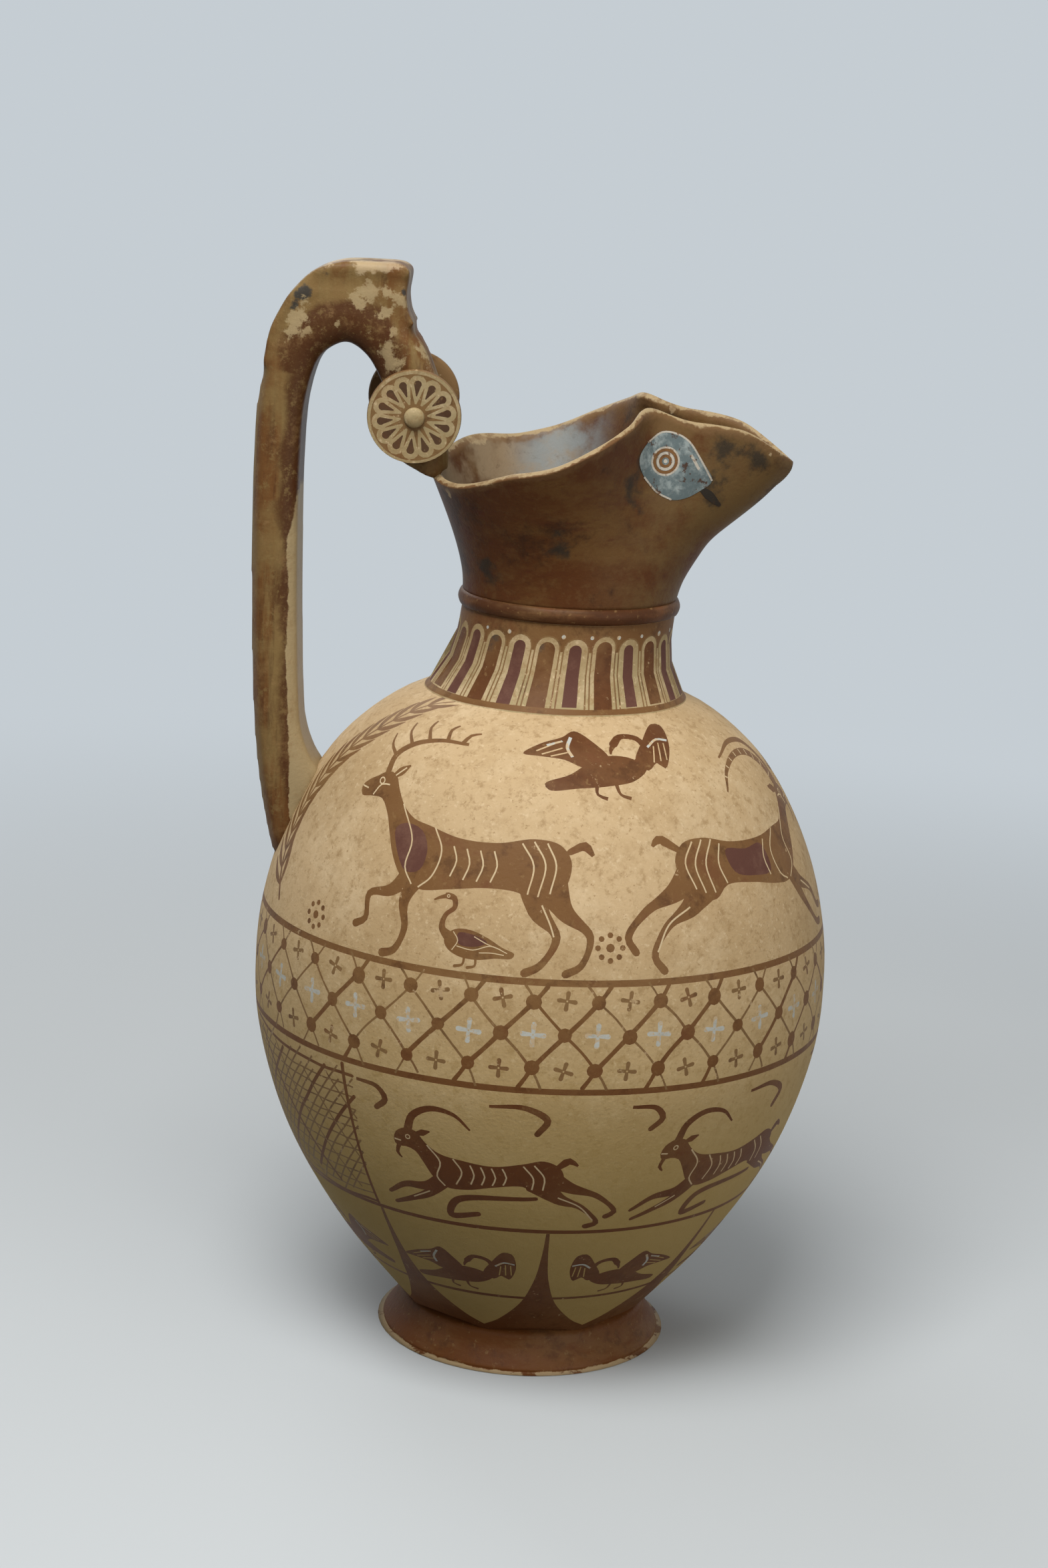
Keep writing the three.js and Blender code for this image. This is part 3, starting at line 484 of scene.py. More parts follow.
def waterbird():
    """Small bird with raised wings for the lowest zone."""
    body = [(-7.6, 7), (-4.6, 9.8), (0.6, 10.6), (5.2, 8.6), (9.6, 5.6), (15.4, 3), (14.8, 1.6), (8.2, 2.2),
            (1.8, 2.8), (-4.2, 4)]
    near_wing = [(-5.4, 8.6), (-8.2, 14.2), (-12.4, 19.4), (-14.6, 18.8), (-15.2, 14), (-14, 9.4),
                 (-12.2, 6.6), (-10.4, 8.2), (-8, 6.4)]
    far_wing = [(0.4, 9.6), (3, 14.6), (6.2, 17.8), (9.2, 15.8), (14.2, 13.6), (18.6, 10.4), (14.8, 10),
                (10.2, 9.4), (6, 7.4)]
    parts = [("dark", spline(points, True, 1)) for points in (body, near_wing, far_wing)]
    neck = [(-5.8, 7.6), (-8.6, 11.4), (-7.2, 15.2), (-3.4, 16), (-1.4, 13.8)]
    limbs = [(neck, [3.6, 1.9, 1.5, 1.5, 1.9], 0.9),
             ([(-1.6, 14), (-0.4, 12), (-0.2, 11)], [1.4, 1, 0.4], 0.8),
             ([(0.2, 3.4), (-0.4, 0.8), (-2.6, -0.2)], [0.9, 0.6, 0.9], 0.9),
             ([(4.4, 3.2), (4.6, 0.8), (2.6, -0.2)], [0.9, 0.6, 0.9], 0.9)]
    parts += [("dark", stroke(*limb)) for limb in limbs]
    feathers = [[(-13.6, 13.4), (-13.2, 8.8)], [(-12.2, 13.6), (-11.6, 8.6)], [(-10.8, 12.8), (-9.8, 8.4)],
                [(10.8, 14), (15.6, 11.4)], [(9.8, 12.6), (14.6, 10.6)], [(9, 11.4), (12.8, 10.2)]]
    parts += [("clay", stroke(feather, 0.32, 0.9)) for feather in feathers]
    edges = [([(7.4, 15.8), (8.8, 12.6), (8.2, 10.2)], 0.7), ([(9.4, 14.6), (13, 13.2)], 0.5),
             ([(-14.8, 14), (-12, 14.6), (-9.2, 12.6)], 0.6)]
    return parts + [("white", stroke(points, width, 0.9)) for points, width in edges]


def dotted_rosette():
    """Eight dots round a ninth."""
    return [("slip", dot(0, 0, 1.1, 8))] + [("slip", dot(x, y, 0.75, 7)) for x, y in dot(0, 0, 3.1, 8)]


# Walls of the pot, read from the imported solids


def faces_out(normal, middle):
    """Whether a face of a turned piece looks away from the pot's axis."""
    return normal.dot(Vector((middle.x, middle.y, 0)).normalized()) > 0.03


def outline(node):
    """The outer profile of a turned solid, bottom to top, from the corners of its outward faces."""
    mesh = nodes[node].data
    rings = {}
    for face in mesh.polygons:
        if faces_out(face.normal, face.center):
            for index in face.vertices:
                place = mesh.vertices[index].co
                rings.setdefault(round(place.z, 5), []).append(place.x)
    return [((max(xs) - min(xs)) / 2, z) for z, xs in sorted(rings.items())]


class Wall:
    """A turned wall with places given by angle and by length along its profile."""

    def __init__(self, points, lean=0.0, step=0.4, overlap=0.0):
        """Overlap is how far, in millimetres, the wall runs on at its foot over the piece below."""
        line = spline([(r / MM, z / MM) for r, z in points], False, step)
        if overlap:
            r, z = line[0]
            line.insert(0, (r + 0.4 * overlap, z - overlap))
        self.r = np.array([p[0] for p in line])
        self.z = np.array([p[1] for p in line])
        run = np.hypot(np.diff(self.r), np.diff(self.z))
        self.s = np.concatenate([[0.0], np.cumsum(run)])
        self.lean = lean

    def along(self, z):
        return float(np.interp(z, self.z, self.s))

    def radius(self, s):
        return np.interp(s, self.s, self.r)

    def place(self, angle, s):
        """Positions in metres and outward normals for arrays of angle and length."""
        r = self.radius(s)
        z = np.interp(s, self.s, self.z)
        e = 0.5
        dr = self.radius(np.minimum(s + e, self.s[-1])) - self.radius(np.maximum(s - e, 0))
        dz = np.interp(s + e, self.s, self.z) - np.interp(s - e, self.s, self.z)
        length = np.hypot(dr, dz)
        shift = self.lean * (z - self.z[0]) / (self.z[-1] - self.z[0])
        where = np.stack([r * np.cos(angle) + shift, r * np.sin(angle), z], 1) * MM
        normal = np.stack([dz / length * np.cos(angle), dz / length * np.sin(angle), -dr / length], 1)
        return where, normal


def inside(points, outline_points):
    """Which points lie inside an outline, by winding number, so that self-crossing strokes stay whole."""
    px, py = points[:, 0][None], points[:, 1][None]
    a = np.asarray(outline_points, float)
    b = np.roll(a, -1, 0)
    ax, ay, bx, by = (v[:, None] for v in (a[:, 0], a[:, 1], b[:, 0], b[:, 1]))
    side = (bx - ax) * (py - ay) - (px - ax) * (by - ay)
    up = (ay <= py) & (by > py) & (side > 0)
    down = (ay > py) & (by <= py) & (side < 0)
    return (up.sum(0) - down.sum(0)) != 0


RIM = 0.01    # how far outlines stay inside the edge of their sheet, in millimetres
CLEAR = 1.5   # grid points this near an outline are left out


def triangulate(low, high, shapes, grid, cuts):
    """Triangles over a rectangle, cut along every outline and at the given x values."""
    (x0, y0), (x1, y1) = low, high
    verts, edges = [], []

    def chain(points, closed):
        start = len(verts)
        verts.extend(points)
        count = len(points)
        edges.extend((start + i, start + (i + 1) % count) for i in range(count if closed else count - 1))

    nx = max(2, round((x1 - x0) / grid))
    ny = max(2, round((y1 - y0) / grid))
    xs = [x0 + (x1 - x0) * i / nx for i in range(nx + 1)]
    ys = [y0 + (y1 - y0) * j / ny for j in range(ny + 1)]
    chain([(x, y0) for x in xs] + [(x1, y) for y in ys[1:]] + [(x, y1) for x in xs[-2::-1]]
          + [(x0, y) for y in ys[-2:0:-1]], True)
    for x in cuts:
        chain([(x, y) for y in ys], False)
    near = set()
    for _, points in shapes:
        inner = [(min(max(x, x0 + RIM), x1 - RIM), min(max(y, y0 + RIM), y1 - RIM)) for x, y in points]
        chain(inner, True)
        near.update((round(x / CLEAR), round(y / CLEAR)) for x, y in inner)
    taken = [x0, x1, *cuts]
    for i, x in enumerate(xs[1:-1]):
        if min(abs(x - t) for t in taken) < 0.3 * grid:
            continue
        for y in ys[1:-1]:
            if (round(x / CLEAR), round(y / CLEAR)) not in near:
                verts.append((x, y))
    result = geometry.delaunay_2d_cdt([Vector(v) for v in verts], edges, [], 0, 1e-5, False)
    points = np.array([tuple(v) for v in result[0]])
    faces = np.array([tuple(f) for f in result[2]])
    return points, faces


def paint_index(points, faces, shapes, ground=None):
    """The paint of each triangle: the last shape laid over it counts. Without a ground the rest is -1."""
    middle = points[faces].mean(1)
    index = np.full(len(faces), PAINTS.index(ground) if ground else -1)
    for paint_name, shape in shapes:
        a = np.asarray(shape, float)
        lo, hi = a.min(0), a.max(0)
        near = np.nonzero((middle[:, 0] >= lo[0]) & (middle[:, 0] <= hi[0])
                          & (middle[:, 1] >= lo[1]) & (middle[:, 1] <= hi[1]))[0]
        if len(near):
            hit = near[inside(middle[near], a)]
            index[hit] = PAINTS.index(paint_name)
    return index


def placed(name, data):
    """A new object with the data, in the scene."""
    obj = bpy.data.objects.new(name, data)
    bpy.context.collection.objects.link(obj)
    return obj


def finish_mesh(name, where, normal, faces, index, uv):
    """A mesh object with one material slot per paint, its own normals and its bake layout."""
    mesh = bpy.data.meshes.new(name)
    mesh.from_pydata(where.tolist(), [], faces.tolist())
    used = sorted(set(index.tolist()))
    for k in used:
        mesh.materials.append(paint[PAINTS[k]])
    slot = {k: i for i, k in enumerate(used)}
    mesh.polygons.foreach_set("material_index", [slot[k] for k in index.tolist()])
    mesh.polygons.foreach_set("use_smooth", [True] * len(mesh.polygons))
    layer = mesh.uv_layers.new(name="OFBake")
    layer.data.foreach_set("uv", uv.reshape(-1, 2).ravel())
    mesh.update()
    mesh.normals_split_custom_set_from_vertices([Vector(n) for n in normal.tolist()])
    obj = placed(name, mesh)
    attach(obj, "root")
    return obj


SEAM = math.pi   # the bands begin and end under the handle
STRIPS = 3       # rows that a band is cut into in its bake layout


def band(name, wall, s0, s1, shapes, grid=4.0):
    """One painted band of a wall. Shapes are given as (paint, [(angle in degrees, length)...])."""
    across = float(np.max(wall.radius(np.linspace(s0, s1, 20))))

    def unroll(a, s):
        return (math.radians(a) + SEAM) * across, s

    flat = [(paint_name, [unroll(a, s) for a, s in points]) for paint_name, points in shapes]
    width = 2 * math.pi * across
    cuts = [width * k / STRIPS for k in range(1, STRIPS)]
    points, faces = triangulate((0.0, s0), (width, s1), flat, grid, cuts)
    index = paint_index(points, faces, flat, "clay")
    where, normal = wall.place(points[:, 0] / across - SEAM, points[:, 1])
    strip = np.clip((points[faces].mean(1)[:, 0] / width * STRIPS).astype(int), 0, STRIPS - 1)
    u = points[faces][:, :, 0] / width * STRIPS - strip[:, None]
    v = (points[faces][:, :, 1] - s0) / (s1 - s0)
    uv = np.stack([0.01 + 0.98 * u, (strip[:, None] + 0.02 + 0.96 * v) / STRIPS], 2)
    return finish_mesh(name, where, normal, faces, index, uv)


def put(drawing, wall, angle, s, scale=1.0, mirror=False):
    """Lay a flat drawing, in millimetres about its foot, on the wall at an angle and length."""
    across = -scale if mirror else scale

    def lay(x, y):
        level = s + y * scale
        return angle + math.degrees(x * across / float(wall.radius(level))), level

    return [(paint_name, [lay(x, y) for x, y in points]) for paint_name, points in drawing]


def line_round(s, width, paint_name, seed):
    """A brushed line round the pot, a little uneven in level and width."""
    rng = random.Random(seed)
    wave = [rng.uniform(-1, 1) for _ in range(12)]
    angles = [-180.0 + 3 * i for i in range(121)]

    def uneven(a, k):
        return sum(wave[k + j] * math.sin(math.radians(a) * (2 * j + 3) + j) for j in range(4)) / 4

    under = [(a, s - width / 2 + 0.22 * uneven(a, 0)) for a in angles]
    over = [(a, s + width / 2 + 0.22 * uneven(a, 5)) for a in angles]
    return [(paint_name, under + over[::-1])]


def decal(name, shapes, place, grid=2.0, turned_over=False):
    """A flat drawing cut out along its outlines, then put on a surface by place(points)."""
    corners = np.array([p for _, shape in shapes for p in shape])
    low, high = corners.min(0) - 0.2, corners.max(0) + 0.2
    points, faces = triangulate(tuple(low), tuple(high), shapes, grid, [])
    index = paint_index(points, faces, shapes)
    faces, index = faces[index >= 0], index[index >= 0]
    used = np.unique(faces)
    order = np.zeros(len(points), int)
    order[used] = np.arange(len(used))
    points, faces = points[used], order[faces]
    if turned_over:
        faces = faces[:, ::-1]
    where, normal = place(points)
    uv = 0.02 + 0.96 * (points - low) / (high - low).max()
    return finish_mesh(name, where, normal, faces, index, uv[faces])


# The painted bands of the body, bottom to top. Heights are in millimetres above the table, angles in degrees
GROUND_LINE = 56.0
BAND_LOW, BAND_HIGH = 103.4, 136.6
SPIRES = (-172.0, -126.5, -84.5, -38.0, 8.0, 53.0, 98.0, 143.0)
PANEL_END, PANEL_START = -127.0, 150.0   # the net panel by the handle, across the seam
HOOKS = (([(-126.0, 99.4), (-121.0, 98.6), (-119.4, 95.2), (-121.6, 92.0)], [1.0, 1.4, 2.0, 1.7]),
         ([(-88.0, 68.9), (-105.2, 65.8), (-107.0, 60.1), (-100.6, 61.6)], [1.4, 1.9, 2.6, 1.9]),
         ([(-98.0, 98.6), (-91.0, 98.8), (-86.8, 95.2), (-88.6, 90.8)], [0.9, 1.5, 2.1, 1.8]))
LATTICE = 30           # cells round the pot
LATTICE_AT = -150.5
LAUREL_AT = -160.0
PANEL_R, BRUSH_R, LATTICE_R = 80.0, 82.0, 86.0   # radii at which flat drawings are rolled round the body

body = Wall(outline("body"))
LEVEL = {"ground": body.along(GROUND_LINE), "low": body.along(BAND_LOW), "high": body.along(BAND_HIGH),
         "end": float(body.s[-1])}


def rays_zone():
    """Concave spires that rise from a solid band, with small birds between them."""
    shapes = []
    half = [(1.04, 13.0), (0.66, 17.2), (0.28, 25.5), (0.10, 36.0), (0.04, 46.0), (0.018, 56.4)]
    side = spline([(24 * w, body.along(z)) for w, z in half], False, 1.2)
    for k, a in enumerate(SPIRES):
        before = (a - SPIRES[k - 1]) % 360 / 48
        after = (SPIRES[(k + 1) % len(SPIRES)] - a) % 360 / 48
        shape = [(a - w * before, s) for w, s in side] + [(a + w * after, s) for w, s in side[::-1]]
        shape += [(a + 25.0 * after, 0.05), (a - 25.0 * before, 0.05)]
        shapes.append(("dark", shape))
        if a < -155:
            shapes.append(("dark", [(x + 360, y) for x, y in shape]))
    shapes = line_round(body.along(28.3), 1.4, "dark", 3) + shapes
    for k in range(1, len(SPIRES)):
        a = (SPIRES[k - 1] + SPIRES[k]) / 2
        shapes += put(waterbird(), body, a - 1.0, body.along(30.6), 1.06, k % 2 == 0)
    return shapes


def crossing_lines(start, end, low, high, pitch, slope, sag, width, rng):
    """Near-parallel strokes across a panel: slope is their rise per millimetre, sag their droop."""
    shapes = []
    across = math.radians(end - start) * PANEL_R
    level = low - max(0.0, slope) * across - sag
    while level < high + max(0.0, -slope) * across + sag:
        points = []
        for k in range(15):
            x = across * k / 14
            y = level + slope * x - sag * math.sin(math.pi * k / 14) + rng.uniform(-0.3, 0.3)
            if low < y < high:
                points.append((x, y))
        if len(points) > 2:
            heavy = width * (1.9 if rng.random() < 0.12 else 1.0)
            flat = stroke(points, heavy, 2.0)
            shapes.append(("wash" if heavy == width else "slip",
                           [(start + math.degrees(x / PANEL_R), y) for x, y in flat]))
        level += pitch * rng.uniform(0.75, 1.25)
    return shapes


def net_panel(start, end, low, high):
    """Free-hand cross-hatching between two angles, on the side of the handle."""
    rng = random.Random(11)
    level = crossing_lines(start, end, low, high, 3.6, -0.10, 3.0, 0.55, rng)
    steep = crossing_lines(start, end, low, high, 4.6, 1.15, 2.0, 0.6, rng)
    return level + steep + crossing_lines(start, end, low, high, 15.0, -1.3, 1.0, 0.6, rng)


def brushed(points, widths, paint_name, turn=0.0):
    """A brush stroke through places given by angle and height."""
    flat = [(math.radians(a) * BRUSH_R, body.along(z)) for a, z in points]
    return [(paint_name, [(math.degrees(x / BRUSH_R) + turn, s) for x, s in stroke(flat, widths, 1.2)])]


def running_zone():
    """Running goats with curling fillers, and the net panel by the handle."""
    low, high = LEVEL["ground"], LEVEL["low"]
    shapes = line_round(low + 0.8, 1.5, "slip", 5)
    shapes += net_panel(-180, PANEL_END, low + 1.5, high)
    shapes += net_panel(PANEL_START, 180, low + 1.5, high)
    for a, lean in ((PANEL_END - 1.2, 2.6), (PANEL_START, -2.6)):
        shapes += brushed([(a - lean / 2, 102.6), (a, 80.0), (a + lean / 2, 57.5)], [1.3, 1.0, 1.2], "slip")
    step = (PANEL_START - PANEL_END) / 5
    for k in range(5):
        a = PANEL_END + step * (k + 0.54)
        shapes += put(goat(), body, a, low + 2.6, 1.2)
        for points, widths in HOOKS:
            shapes += brushed(points, widths, "dark", step * k)
    return shapes


def petal_cross(x, y, size, width, turn, gap=0.22):
    """Four short strokes about a centre, not quite meeting."""
    shapes = []
    for k in range(4):
        c, d = math.cos(turn + math.pi / 2 * k), math.sin(turn + math.pi / 2 * k)
        shapes.append(stroke([(x + gap * size * c, y + gap * size * d), (x + size * c, y + size * d)],
                             [width * 0.7, width], 0.8))
    return shapes


def lattice_zone():
    """Dotted net between two lines, with crosses in its cells."""
    low, high = LEVEL["low"], LEVEL["high"]
    mid = (low + high) / 2 + 0.7
    top, bottom = mid + 9.6, mid - 9.9
    half = math.radians(180 / LATTICE) * LATTICE_R
    shapes = line_round(low + 0.9, 1.9, "slip", 7) + line_round(high - 0.9, 2.1, "slip", 8)
    nets, dots, marks = [], [], []
    rng = random.Random(4)

    def back(points):
        return [(math.degrees(x / LATTICE_R), s) for x, s in points]

    def line(x0, y0, x1, y1, width, bow):
        middle = ((x0 + x1) / 2 + bow, (y0 + y1) / 2 + abs(bow) * 0.5)
        paint_name = "wash" if width < 0.9 else "slip"
        drawn = stroke([(x0, y0), middle, (x1, y1)], [width, width * 0.85, width], 1.6)
        nets.append((paint_name, back(drawn)))

    for k in range(-1, LATTICE + 2):
        m = math.radians(LATTICE_AT - 30 + 12 * k) * LATTICE_R
        a = m + half
        for sign in (-1, 1):
            width = 1.5 if sign > 0 and rng.random() < 0.35 else rng.uniform(0.7, 0.95)
            line(m, mid, m + sign * half, top, width, rng.uniform(-0.5, 0.5))
            line(m, mid, m - sign * half, bottom, width, rng.uniform(-0.5, 0.5))
            reach = sign * half * rng.uniform(0.30, 0.42)
            rise = (high - top - 0.6) * rng.uniform(0.75, 1.0)
            line(a, top, a + reach, top + rise, width * 0.9, 0.2)
            drop = (bottom - low - 0.6) * rng.uniform(0.75, 1.0)
            line(a, bottom, a - reach, bottom - drop, width * 0.9, 0.2)
        for x, s in ((m, mid), (a, top), (a, bottom)):
            dots.append(("slip", back(dot(x + rng.uniform(-0.3, 0.3), s + rng.uniform(-0.4, 0.4),
                                          rng.uniform(1.9, 2.35), 12, rng.uniform(0.9, 1.08)))))
        for shape in petal_cross(a, mid + rng.uniform(-0.5, 0.5), 3.0, 1.5, rng.uniform(-0.15, 0.15)):
            marks.append(("white", back(shape)))
        for level in (top + 0.4, bottom - 0.4):
            for shape in petal_cross(m, level, 2.3, 1.3, rng.uniform(-0.3, 0.3), 0.1):
                marks.append(("wash", back(shape)))
    return shapes + nets + marks + dots


def laurel(mirror):
    """A sprig beside the handle: a rising stem with slender pointed leaves."""
    stem = [(-157.6, 141.0), (-162.6, 151.6), (-165.0, 163.4), (-163.7, 175.6), (-159.4, 186.3),
            (-153.1, 194.8), (-145.0, 200.4), (-137.0, 202.6)]
    flat = []
    for angle, z in stem:
        s = body.along(z)
        flat.append((math.radians(angle - LAUREL_AT) * float(body.radius(s)), s))

    def lay(points):
        laid = [(LAUREL_AT + math.degrees(x / float(body.radius(s))), s) for x, s in points]
        return [(-a, s) for a, s in laid] if mirror else laid

    shapes = [("slip", lay(stroke(flat, [1.3, 1.1, 0.9, 0.7], 1.2)))]
    leaves = 15
    for k in range(leaves):
        share = 0.05 + 0.92 * k / leaves
        x, y = at_share(flat, share)
        x2, y2 = at_share(flat, min(share + 0.03, 0.999))
        heading = math.atan2(y2 - y, x2 - x)
        for side in (1, -1):
            turn = heading + side * 0.50
            size = 14.0 - 5.0 * k / leaves
            bend = side * 0.9
            tip = (x + size * math.cos(turn), y + size * math.sin(turn))
            middle = ((x + tip[0]) / 2 - bend * math.sin(turn), (y + tip[1]) / 2 + bend * math.cos(turn))
            shapes.append(("slip", lay(stroke([(x, y), middle, tip], [0.5, 1.9, 2.3, 1.7, 0.3], 1.2))))
    return shapes


def shoulder_zone():
    """The tall frieze: a file of animals with scattered fillers."""
    low = LEVEL["high"]
    shapes = laurel(False) + laurel(True)
    cast = [(stag, -104.5, 1.24, 0.8, False), (ibex, -40.0, 1.32, 0.8, True),
            (waterbird, -72.0, 1.35, 52.0, True), (goose, -104.0, 0.72, 1.0, False),
            (lion, 25.0, 1.1, 0.8, False), (goose, 12.0, 0.9, 44.0, True), (ibex, 86.5, 1.15, 0.8, False),
            (goose, 87.0, 0.66, 1.0, True), (stag, 138.0, 0.95, 0.8, False)]
    for animal, a, scale, rise, mirror in cast:
        shapes += put(animal(), body, a, low + rise, scale, mirror)
    for a, s in ((-141.0, 6.0), (-76.5, 9.0), (-4.0, 9.0), (44.0, 50.0), (90.0, 54.0), (148.0, 46.0)):
        shapes += put(dotted_rosette(), body, a, low + s, 1.15)
    return shapes


skins = [
    band("rays_band", body, 0.0, LEVEL["ground"], rays_zone()),
    band("running_frieze", body, LEVEL["ground"], LEVEL["low"], running_zone()),
    band("lattice_band", body, LEVEL["low"], LEVEL["high"], lattice_zone()),
    band("shoulder_frieze", body, LEVEL["high"], LEVEL["end"], shoulder_zone()),
]
for skin in skins:
    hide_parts("body")


# The neck: round-topped tongues under the ring
TONGUES = 24
TONGUE_AT = -83.6
NECK_R = 31.8
TONGUE_FOOT = 1.5
TONGUE_ROOM = 3.4


def arch(a, half, foot, head):
    """Outline of a round-topped tongue about an angle, half its width in millimetres."""
    side = math.degrees(half / NECK_R)
    crown = [(a - side * math.cos(t), head - half + half * math.sin(t))
             for t in (math.pi * k / 10 for k in range(11))]
    middle = (foot + head) / 2
    return [(a - side, foot), (a - side, middle)] + crown + [(a + side, middle), (a + side, foot)]


def tongue_zone(end):
    """Slip above, clay toned darker as painted shade below, and the tongues with their double outlines."""
    head = end - TONGUE_ROOM
    pitch = 2 * math.pi * NECK_R / TONGUES
    rng = random.Random(8)
    levels = (0.05, head - pitch / 2 - 0.4, end - 0.05)
    edges = [[(-180 + 6 * k, level) for k in range(61)] for level in levels]
    shapes = [("shaded_clay", edges[0] + edges[1][::-1]), ("slip", edges[1] + edges[2][::-1])]
    angles = [(TONGUE_AT + 360 / TONGUES * k + 180) % 360 - 180 for k in range(TONGUES)]
    for k, a in enumerate(angles):
        top = head + rng.uniform(-0.7, 0.5)
        foot = TONGUE_FOOT + 0.3 + rng.uniform(0.0, 1.2)
        shapes.append(("wash", arch(a, 0.46 * pitch, TONGUE_FOOT, top + 0.1)))
        shapes.append(("shaded_clay", arch(a, 0.41 * pitch, TONGUE_FOOT, top - 0.35)))
        paint_name, half, room = ("dark", 0.27, 1.8) if k % 2 else ("plum", 0.19, 2.0)
        centre = a + rng.uniform(-0.4, 0.4)
        shapes.append((paint_name, arch(centre, rng.uniform(half, half + 0.04) * pitch, foot, top - room)))
        if rng.random() < 0.6:
            shapes.append(("white", [(a + 180 / TONGUES + math.degrees(x / NECK_R), y)
                                     for x, y in dot(0, head - 0.2, rng.uniform(0.5, 0.8), 8)]))
    return shapes + line_round(TONGUE_FOOT, 1.9, "slip", 12)


neck = Wall(outline("neck"), lean=2.6, overlap=0.5)
neck_end = float(neck.s[-1])
tongue_band = band("tongue_band", neck, 0.0, neck_end, tongue_zone(neck_end), grid=3.0)
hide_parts("neck")


# Fired pieces: smooth skins over the faceted solids


WELD = 0.02 * MM   # corners nearer than this are one corner


def welded(node):
    """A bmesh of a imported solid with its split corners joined."""
    work = bmesh.new()
    work.from_mesh(nodes[node].data)
    bmesh.ops.remove_doubles(work, verts=work.verts, dist=WELD)
    return work


def cleaned(node):
    """A welded solid without the slivers that the joining leaves."""
    work = welded(node)
    bmesh.ops.dissolve_degenerate(work, edges=work.edges, dist=WELD)
    return work


def into_mesh(work, name):
    """A mesh from a bmesh, which is freed."""
    mesh = bpy.data.meshes.new(name)
    work.to_mesh(mesh)
    work.free()
    return mesh


def add_piece(name, mesh, material, node):
    """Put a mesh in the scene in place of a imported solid."""
    mesh.materials.clear()
    mesh.materials.append(material)
    mesh.polygons.foreach_set("material_index", [0] * len(mesh.polygons))
    mesh.polygons.foreach_set("use_smooth", [True] * len(mesh.polygons))
    obj = placed(name, mesh)
    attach(obj, "root")
    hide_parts(node)
    return obj


JOINT = 0.4 * MM        # how far a piece runs on into its neighbour, so that no seam shows
FILLET = 1.2 * JOINT    # how far a ring that meets its neighbour is flared
CREASE = 0.6            # how much of a sharp edge the smoothing keeps


def close_joints(mesh, joints):
    """Run the lowest ("low") or highest ("high") ring on into the next piece, or flare it ("fillet")."""
    lowest = min(v.co.z for v in mesh.vertices)
    highest = max(v.co.z for v in mesh.vertices)
    for v in mesh.vertices:
        reach = math.hypot(v.co.x, v.co.y)
        in_top, in_bottom = v.co.z > highest - WELD, v.co.z < lowest + WELD
        if "fillet" in joints and in_top and reach > 10 * MM:
            v.co.x, v.co.y = (c * (reach + FILLET) / reach for c in (v.co.x, v.co.y))
        if "low" in joints and in_bottom:
            v.co.z -= JOINT
        if "high" in joints and in_top:
            v.co.z += JOINT


def subdivided(name, node, material, sharp=38.0, tag=None, levels=1, joints=()):
    """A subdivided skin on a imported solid, creased at its sharp edges, with values tagged to its corners."""
    work = cleaned(node)
    bmesh.ops.join_triangles(work, faces=work.faces, angle_face_threshold=math.radians(20),
                             angle_shape_threshold=math.radians(60))
    layer = work.edges.layers.float.new("crease_edge")
    for edge in work.edges:
        if len(edge.link_faces) == 2 and math.degrees(edge.calc_face_angle(0)) > sharp:
            edge[layer] = CREASE
    mesh = into_mesh(work, name)
    if tag:
        tag(mesh)
    close_joints(mesh, joints)
    obj = add_piece(name, mesh, material, node)
    modifier = obj.modifiers.new("smooth", "SUBSURF")
    modifier.levels = levels
    modifier.render_levels = levels
    hold_to_corners(obj)
    return obj


def hold_to_corners(obj):
    """Move the cage in two passes so that the smoothed surface runs through the solid's own corners."""
    corners = [v.co.copy() for v in obj.data.vertices]
    for _ in range(2):
        smooth = evaluated_mesh(obj)
        for corner, own, shrunk in zip(corners, obj.data.vertices, smooth.vertices):
            own.co += 0.8 * (corner - shrunk.co)
        bpy.data.meshes.remove(smooth)


def tag_values(mesh, name, values):
    mesh.attributes.new(name, "FLOAT", "POINT").data.foreach_set("value", values)


def evaluated_mesh(obj):
    """The mesh of an object with its modifiers applied."""
    return bpy.data.meshes.new_from_object(obj.evaluated_get(bpy.context.evaluated_depsgraph_get()))


def search_tree(mesh):
    """A tree for finding the nearest point of a mesh."""
    return BVHTree.FromPolygons([v.co[:] for v in mesh.vertices], [p.vertices[:] for p in mesh.polygons])


# The handle and its thumb rest are drawn over one fused and softened form, then parted again
VOXEL = 0.9 * MM
SOFTENING = 8           # passes over the whole form
SEAM_PASSES = 60        # passes in all, the later ones at the seam alone
SEAM_REACH = 3.0 * MM   # how far from the seam they reach
SINK = 1.3 * MM
CONTACT = 0.9 * MM      # corners nearer than this to a neighbour touch it


def sink(verts, carriers):
    """Push the corners that touch their carriers a little way in."""
    trees = [search_tree(nodes[node].data) for node in carriers]
    for v in verts:
        for tree in trees:
            place, normal, _, distance = tree.find_nearest(v.co)
            if distance < CONTACT:
                v.co = place - normal * SINK


def fused_handle():
    """Strap and thumb rest grown together, with its ends sunk into body and mouth."""
    work = cleaned("handle")
    sink(work.verts, ("body", "mouth"))
    rest = welded("thumb_rest")
    sink(rest.verts, ("handle",))
    work.from_mesh(into_mesh(rest, "rest_volume"))
    obj = placed("handle_volume", into_mesh(work, "handle_volume"))
    remesh = obj.modifiers.new("fuse", "REMESH")
    remesh.mode = "VOXEL"
    remesh.voxel_size = VOXEL
    fused = evaluated_mesh(obj)
    bpy.data.objects.remove(obj)
    soften(fused)
    return fused


